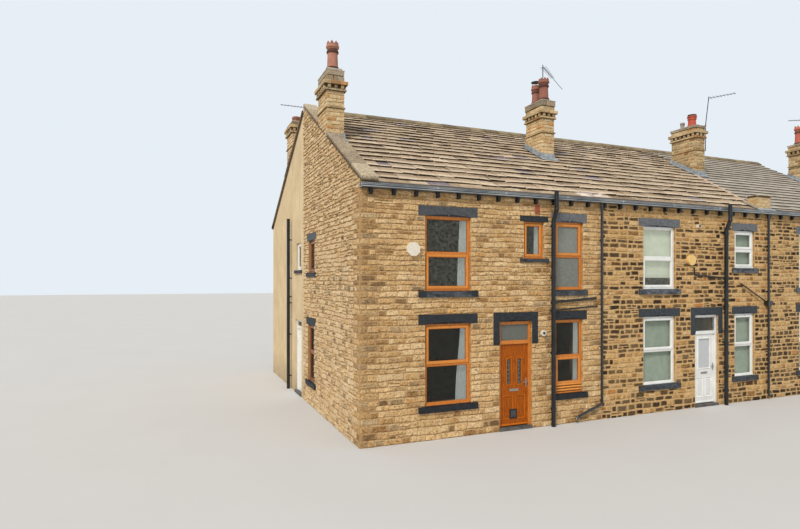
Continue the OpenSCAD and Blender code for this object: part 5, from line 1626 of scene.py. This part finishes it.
def slats(heap, o, z0, z1):
    """Slats across a window, with three upright tapes and a head rail."""
    a, b = ends(o, 0.012)
    count = int((z1 - z0) / SLAT_STEP)
    for k in range(count):
        z = z1 - 0.03 - k * SLAT_STEP
        heap.add([[u, CLOTH_D + d, z + h] for u in (a, b) for d, h in SLAT], tube_faces(6, 2))
    y = CLOTH_D - 0.011
    for u in (a + 0.12, (a + b) / 2, b - 0.12):
        rod(heap, [u, y, z1 - count * SLAT_STEP], [u, y, z1 - 0.02], 0.0012, sides=6)
    heap.boxes([a, CLOTH_D - 0.014, z1 - 0.03], [b, CLOTH_D + 0.014, z1 - 0.004], 0.003)


heap = Heap()
for o in (HOUSE_2[0], HOUSE_3[0]):
    bar_across(heap, o, CLOTH_D, o[3] - 0.026, 0.016)
heap.build("blind_rollers", white)
roller_blind("roller_blind_house_2", HOUSE_2[0], 1.42)
roller_blind("roller_blind_house_3", HOUSE_3[0], 1.1)
heap = Heap()
for o in HOUSE_2[1:] + HOUSE_3[1:]:
    slats(heap, o, o[2] + 0.03, o[3])
heap.build("slatted_blinds", slat_m)


# Details of the two doors that open, which move with their leaves
LEAF_Z = 0.085
LEAF_Y = RECESS + 0.08 - 0.044
LIGHT_Z, PANEL_Z, PANEL_RISE = LEAF_Z + 1.02, LEAF_Z + 0.18, 0.56
PANEL_GAP = 0.09
LEAF_W = DOOR_W - 0.14 - 0.014
PANEL_W = (LEAF_W - 3 * PANEL_GAP) / 2
SLIM_LIGHTS, SLIM_W, SLIM_H = (-0.155, 0.155), 0.11, 0.62


def inward(rect, by):
    return [rect[0] + by, rect[1] - by, rect[2] + by, rect[3] - by]


def door_trim(name, u, body, material, found, height, rise):
    """Mouldings of a leaf: round each light, round and in each low panel, and a weather bar."""
    heap = Heap()
    y = LEAF_Y
    # Rim values paint shade at the foot of each moulding and highlight on its face, where the finish reads
    # them.
    for x, w in found:
        rect = inward([u + x - w / 2, u + x + w / 2, LIGHT_Z, LIGHT_Z + height], -0.028)
        out = 0.0135
        ring(heap, on_front, rect, [(-0.004, y + 0.0005), (0.001, y - out * 0.7), (0.008, y - out),
                                    (0.020, y - out), (0.029, y - out * 0.7), (0.034, y + 0.01)],
             (rise if x > 0 else 0.0, rise if x < 0 else 0.0), [1.0, 0.1, -0.7, -0.3, 0.1, 1.0])
    for a in (u - PANEL_GAP / 2 - PANEL_W, u + PANEL_GAP / 2):
        rect = [a, a + PANEL_W, PANEL_Z, PANEL_Z + PANEL_RISE]
        ring(heap, on_front, rect, [(-0.014, y + 0.0005), (-0.010, y - 0.006), (0.004, y - 0.007),
                                    (0.018, y + 0.006), (0.018, y + 0.0098), (0.0, y + 0.0098)],
             rims=[1.0, -0.3, -0.5, 0.6, 1.0, 1.0])
        ring(heap, on_front, inward(rect, 0.045), [(0, y + 0.0102), (0.012, y + 0.002), (0.03, y + 0.002),
                                                   (0.03, y + 0.0102)], rims=[1.0, -0.4, 0.0, 0.0])
        x0, x1, z0, z1 = inward(rect, 0.07)
        heap.boxes([x0, y + 0.002, z0], [x1, y + 0.0102, z1], 0.001)
    bar = [(0.0, 0.0005), (0.0, -0.016), (0.01, -0.018), (0.045, -0.006), (0.05, 0.0005)]
    points = [[x, y + d, LEAF_Z + 0.012 + h] for x in ends([u, LEAF_W], 0.012) for h, d in bar]
    heap.add(points, tube_faces(5, 2), 0.5, 0.0, np.tile([1.0, 0.3, -0.4, -0.4, 1.0], 2))
    heap.build(name, material, body=body)


door_trim("door_1_mouldings", DOOR_U[0], "door_1", oak_door, [(x, SLIM_W) for x in SLIM_LIGHTS],
          SLIM_H, 0.06)
door_trim("door_2_mouldings", DOOR_U[1], "door_2", white, [(0.0, 0.46)], 0.85, 0.0)


def disc(heap, u, z, d0, d1, r, sides=24):
    """A domed round plate on the front."""
    turn = np.linspace(0, 2 * math.pi, sides, endpoint=False)
    rows = []
    for y, share in ((d0, 1.0), (d1 + (d0 - d1) * 0.3, 0.96), (d1, 0.6)):
        around = [u + r * share * np.cos(turn), np.full(sides, y), z + r * share * np.sin(turn)]
        rows.append(np.stack(around, axis=-1))
    heap.add(np.concatenate(rows), tube_faces(sides, 3))


def cat_flap():
    heap = Heap()
    u, z = DOOR_U[0] - 0.02, LEAF_Z + 0.29
    front = LEAF_Y - 0.016
    ring(heap, on_front, [u - 0.105, u + 0.105, z - 0.12, z + 0.12],
         [(0, LEAF_Y), (0.003, front + 0.004), (0.008, front), (0.026, front), (0.032, front + 0.006),
          (0.032, LEAF_Y)])
    disc(heap, u, z - 0.065, front - 0.001, front - 0.007, 0.012)
    heap.build("cat_flap", rubber, body="door_1")
    heap = Heap()
    heap.boxes([u - 0.074, front + 0.004, z - 0.088], [u + 0.074, front + 0.01, z + 0.088], 0.004)
    ring(heap, on_front, [u - 0.06, u + 0.06, z - 0.045, z + 0.07],
         [(0, front + 0.005), (0.003, front + 0.001), (0.007, front + 0.001), (0.01, front + 0.005)])
    heap.build("cat_flap_panel", lens_m, body="door_1")


def leaded_lights(bevels=6):
    """Small bevels in a column on each slim light of the first door."""
    heap = Heap()
    y = RECESS + 0.08 - 0.022 - 0.006
    for x in (DOOR_U[0] + side for side in SLIM_LIGHTS):
        for k in range(bevels):
            c = np.array([x, y, LIGHT_Z + SLIM_H * (k + 0.5) / bevels])
            points = [c + [dx, 0.0005, dz] for dx, dz in ((-0.012, 0), (0, -0.02), (0.012, 0), (0, 0.02))]
            points.append(c + [0, -0.004, 0])
            heap.add(points, [(0, 1, 4), (1, 2, 4), (2, 3, 4), (3, 0, 4), (3, 2, 1, 0)])
            rod(heap, c + [0, 0.0, 0.02], c + [0, 0.0, SLIM_H / bevels - 0.02], 0.0018, sides=6)
        ring(heap, on_front, [x - SLIM_W / 2, x + SLIM_W / 2, LIGHT_Z, LIGHT_Z + SLIM_H],
             [(0.012, y + 0.0005), (0.012, y - 0.002), (0.016, y - 0.002), (0.016, y + 0.0005)])
    heap.build("leaded_bevels", bevel_m, body="door_1")


cat_flap()
leaded_lights()

# Small fixings on the front: lamp lenses, the air brick and gutter joints
heap = Heap()
disc(heap, DOOR_U[0] + 0.792, 2.35, -0.058, -0.085, 0.036)
x, z = PARTY[0] + 3.225, 5.235
heap.boxes([x - 0.037, -0.088, z - 0.032], [x + 0.037, -0.078, z + 0.034], 0.003)
heap.build("lamp_lenses", lens_m)


def air_brick(heap, u0, u1, z0, z1, cols, rows):
    """A clay grating: a rim with bars both ways."""
    front, back = -0.022, 0.03
    ring(heap, on_front, [u0, u1, z0, z1], [(0, back), (0, front), (0.012, front), (0.012, back)])
    lo, hi = [], []
    for k in range(1, cols):
        u = u0 + (u1 - u0) * k / cols
        lo.append([u - 0.005, front + 0.003, z0 + 0.01])
        hi.append([u + 0.005, back, z1 - 0.01])
    for k in range(1, rows):
        z = z0 + (z1 - z0) * k / rows
        lo.append([u0 + 0.01, front + 0.004, z - 0.005])
        hi.append([u1 - 0.01, back, z + 0.005])
    heap.boxes(lo, hi, 0.0015)


heap = Heap()
air_brick(heap, *AIR_BRICK, 4, 6)
heap.build("air_brick", brick_m)

JOINT_STEP = 1.83
heap = Heap()
for x in np.arange(1, 12) * JOINT_STEP:
    a, b, z = x - 0.03, x + 0.03, GUTTER_Z - 0.004
    heap.boxes([a, -GUTTER_OUT - 0.004, z], [b, -GUTTER_OUT + 0.02, GUTTER_TOP + 0.001], 0.003)
    heap.boxes([a, -GUTTER_OUT - 0.003, z], [b, -0.002, GUTTER_Z + 0.006], 0.003)
heap.build("gutter_joints", gutter_m)

# Mortar fillet where the slates meet the tiles
rng = np.random.default_rng(71)
heap = Heap()
FILLET_CUTS = 22
s = np.linspace(along_slope(0.45), along_slope(2.83), FILLET_CUTS)
edge = junction(s)
top = np.zeros((FILLET_CUTS, 4, 3))
for i, (a, up) in enumerate(((-0.045, 0.001), (-0.02, 0.007), (0.012, 0.008), (0.04, 0.001))):
    top[:, i, 0] = edge + a + rng.uniform(-0.012, 0.012, FILLET_CUTS)
    top[:, i, 1] = up + rng.uniform(0, 0.003, FILLET_CUTS)
    top[:, i, 2] = s
under = top.copy()
under[..., 1] = -0.03
faces, rim = tablet_faces(4, FILLET_CUTS)
solid = np.concatenate([top.reshape(-1, 3), under.reshape(-1, 3)[rim]])
heap.add(on_front_slope(solid), faces)
heap.build("mortar_fillet", fillet_m)

# Render over the foot of the rear stack on the gable
heap = Heap()
y0, y1 = CHIMNEYS[4][1] - 0.01, CHIMNEYS[4][1] + CHIMNEYS[4][2] + 0.01
points = [[x, y, z] for x in (-0.002, 0.02) for y, z in (
    (y0, STACK_BASE - 0.02), (y1, STACK_BASE - 0.02), (y1, roof_z(y1) - ROOF_T), (y0, roof_z(y0) - ROOF_T))]
heap.add(points, tube_faces(4, 2))
heap.build("render_over_stack", render_m)


# Floor and light
def stage_floor():
    mesh = bpy.data.meshes.new("studio_floor")
    edit = bmesh.new()
    bmesh.ops.create_grid(edit, x_segments=4, y_segments=4, size=140)
    edit.to_mesh(mesh)
    edit.free()
    floor = bpy.data.objects.new("studio_floor", mesh)
    floor.location = (0, 0, -0.002)
    bpy.context.collection.objects.link(floor)
    s = Shader("studio_floor", 0.95, spec=0.1)
    s.colour(s.ramp(s.noise(0.4, 2), (0.0, (0.60, 0.59, 0.57)), (1.0, (0.64, 0.63, 0.61))))
    mesh.materials.append(s.mat)


stage_floor()

world = bpy.data.worlds.new("studio")
bpy.context.scene.world = world
world.use_nodes = True
sky = Nodes(world.node_tree)
lit = sky.tree.nodes["Background"]
sky.feed(lit.inputs["Color"], (0.93, 0.96, 1.0))
sky.feed(lit.inputs["Strength"], 0.62)
shown = sky.add("Background", Color=(0.80, 0.86, 0.92), Strength=1.0)
path = sky.add("LightPath").outputs
seen = sky.math("MAXIMUM", path["Is Camera Ray"], path["Is Glossy Ray"])
seen = sky.math("MAXIMUM", seen, path["Is Transmission Ray"])
mix = sky.add("MixShader")
for socket, value in zip(mix.inputs, (seen, lit.outputs[0], shown.outputs[0])):
    sky.feed(socket, value)
sky.feed(sky.tree.nodes["World Output"].inputs["Surface"], mix.outputs[0])

sun_data = bpy.data.lights.new("sun", "SUN")
sun_data.energy = 2.4
sun_data.angle = math.radians(14)
sun_data.color = (1.0, 0.96, 0.9)
sun = bpy.data.objects.new("sun", sun_data)
bpy.context.collection.objects.link(sun)
sun.rotation_euler = Vector((0.74, 0.6, -0.9)).to_track_quat("-Z", "Y").to_euler()

view = bpy.context.scene.view_settings
view.view_transform = "Standard"
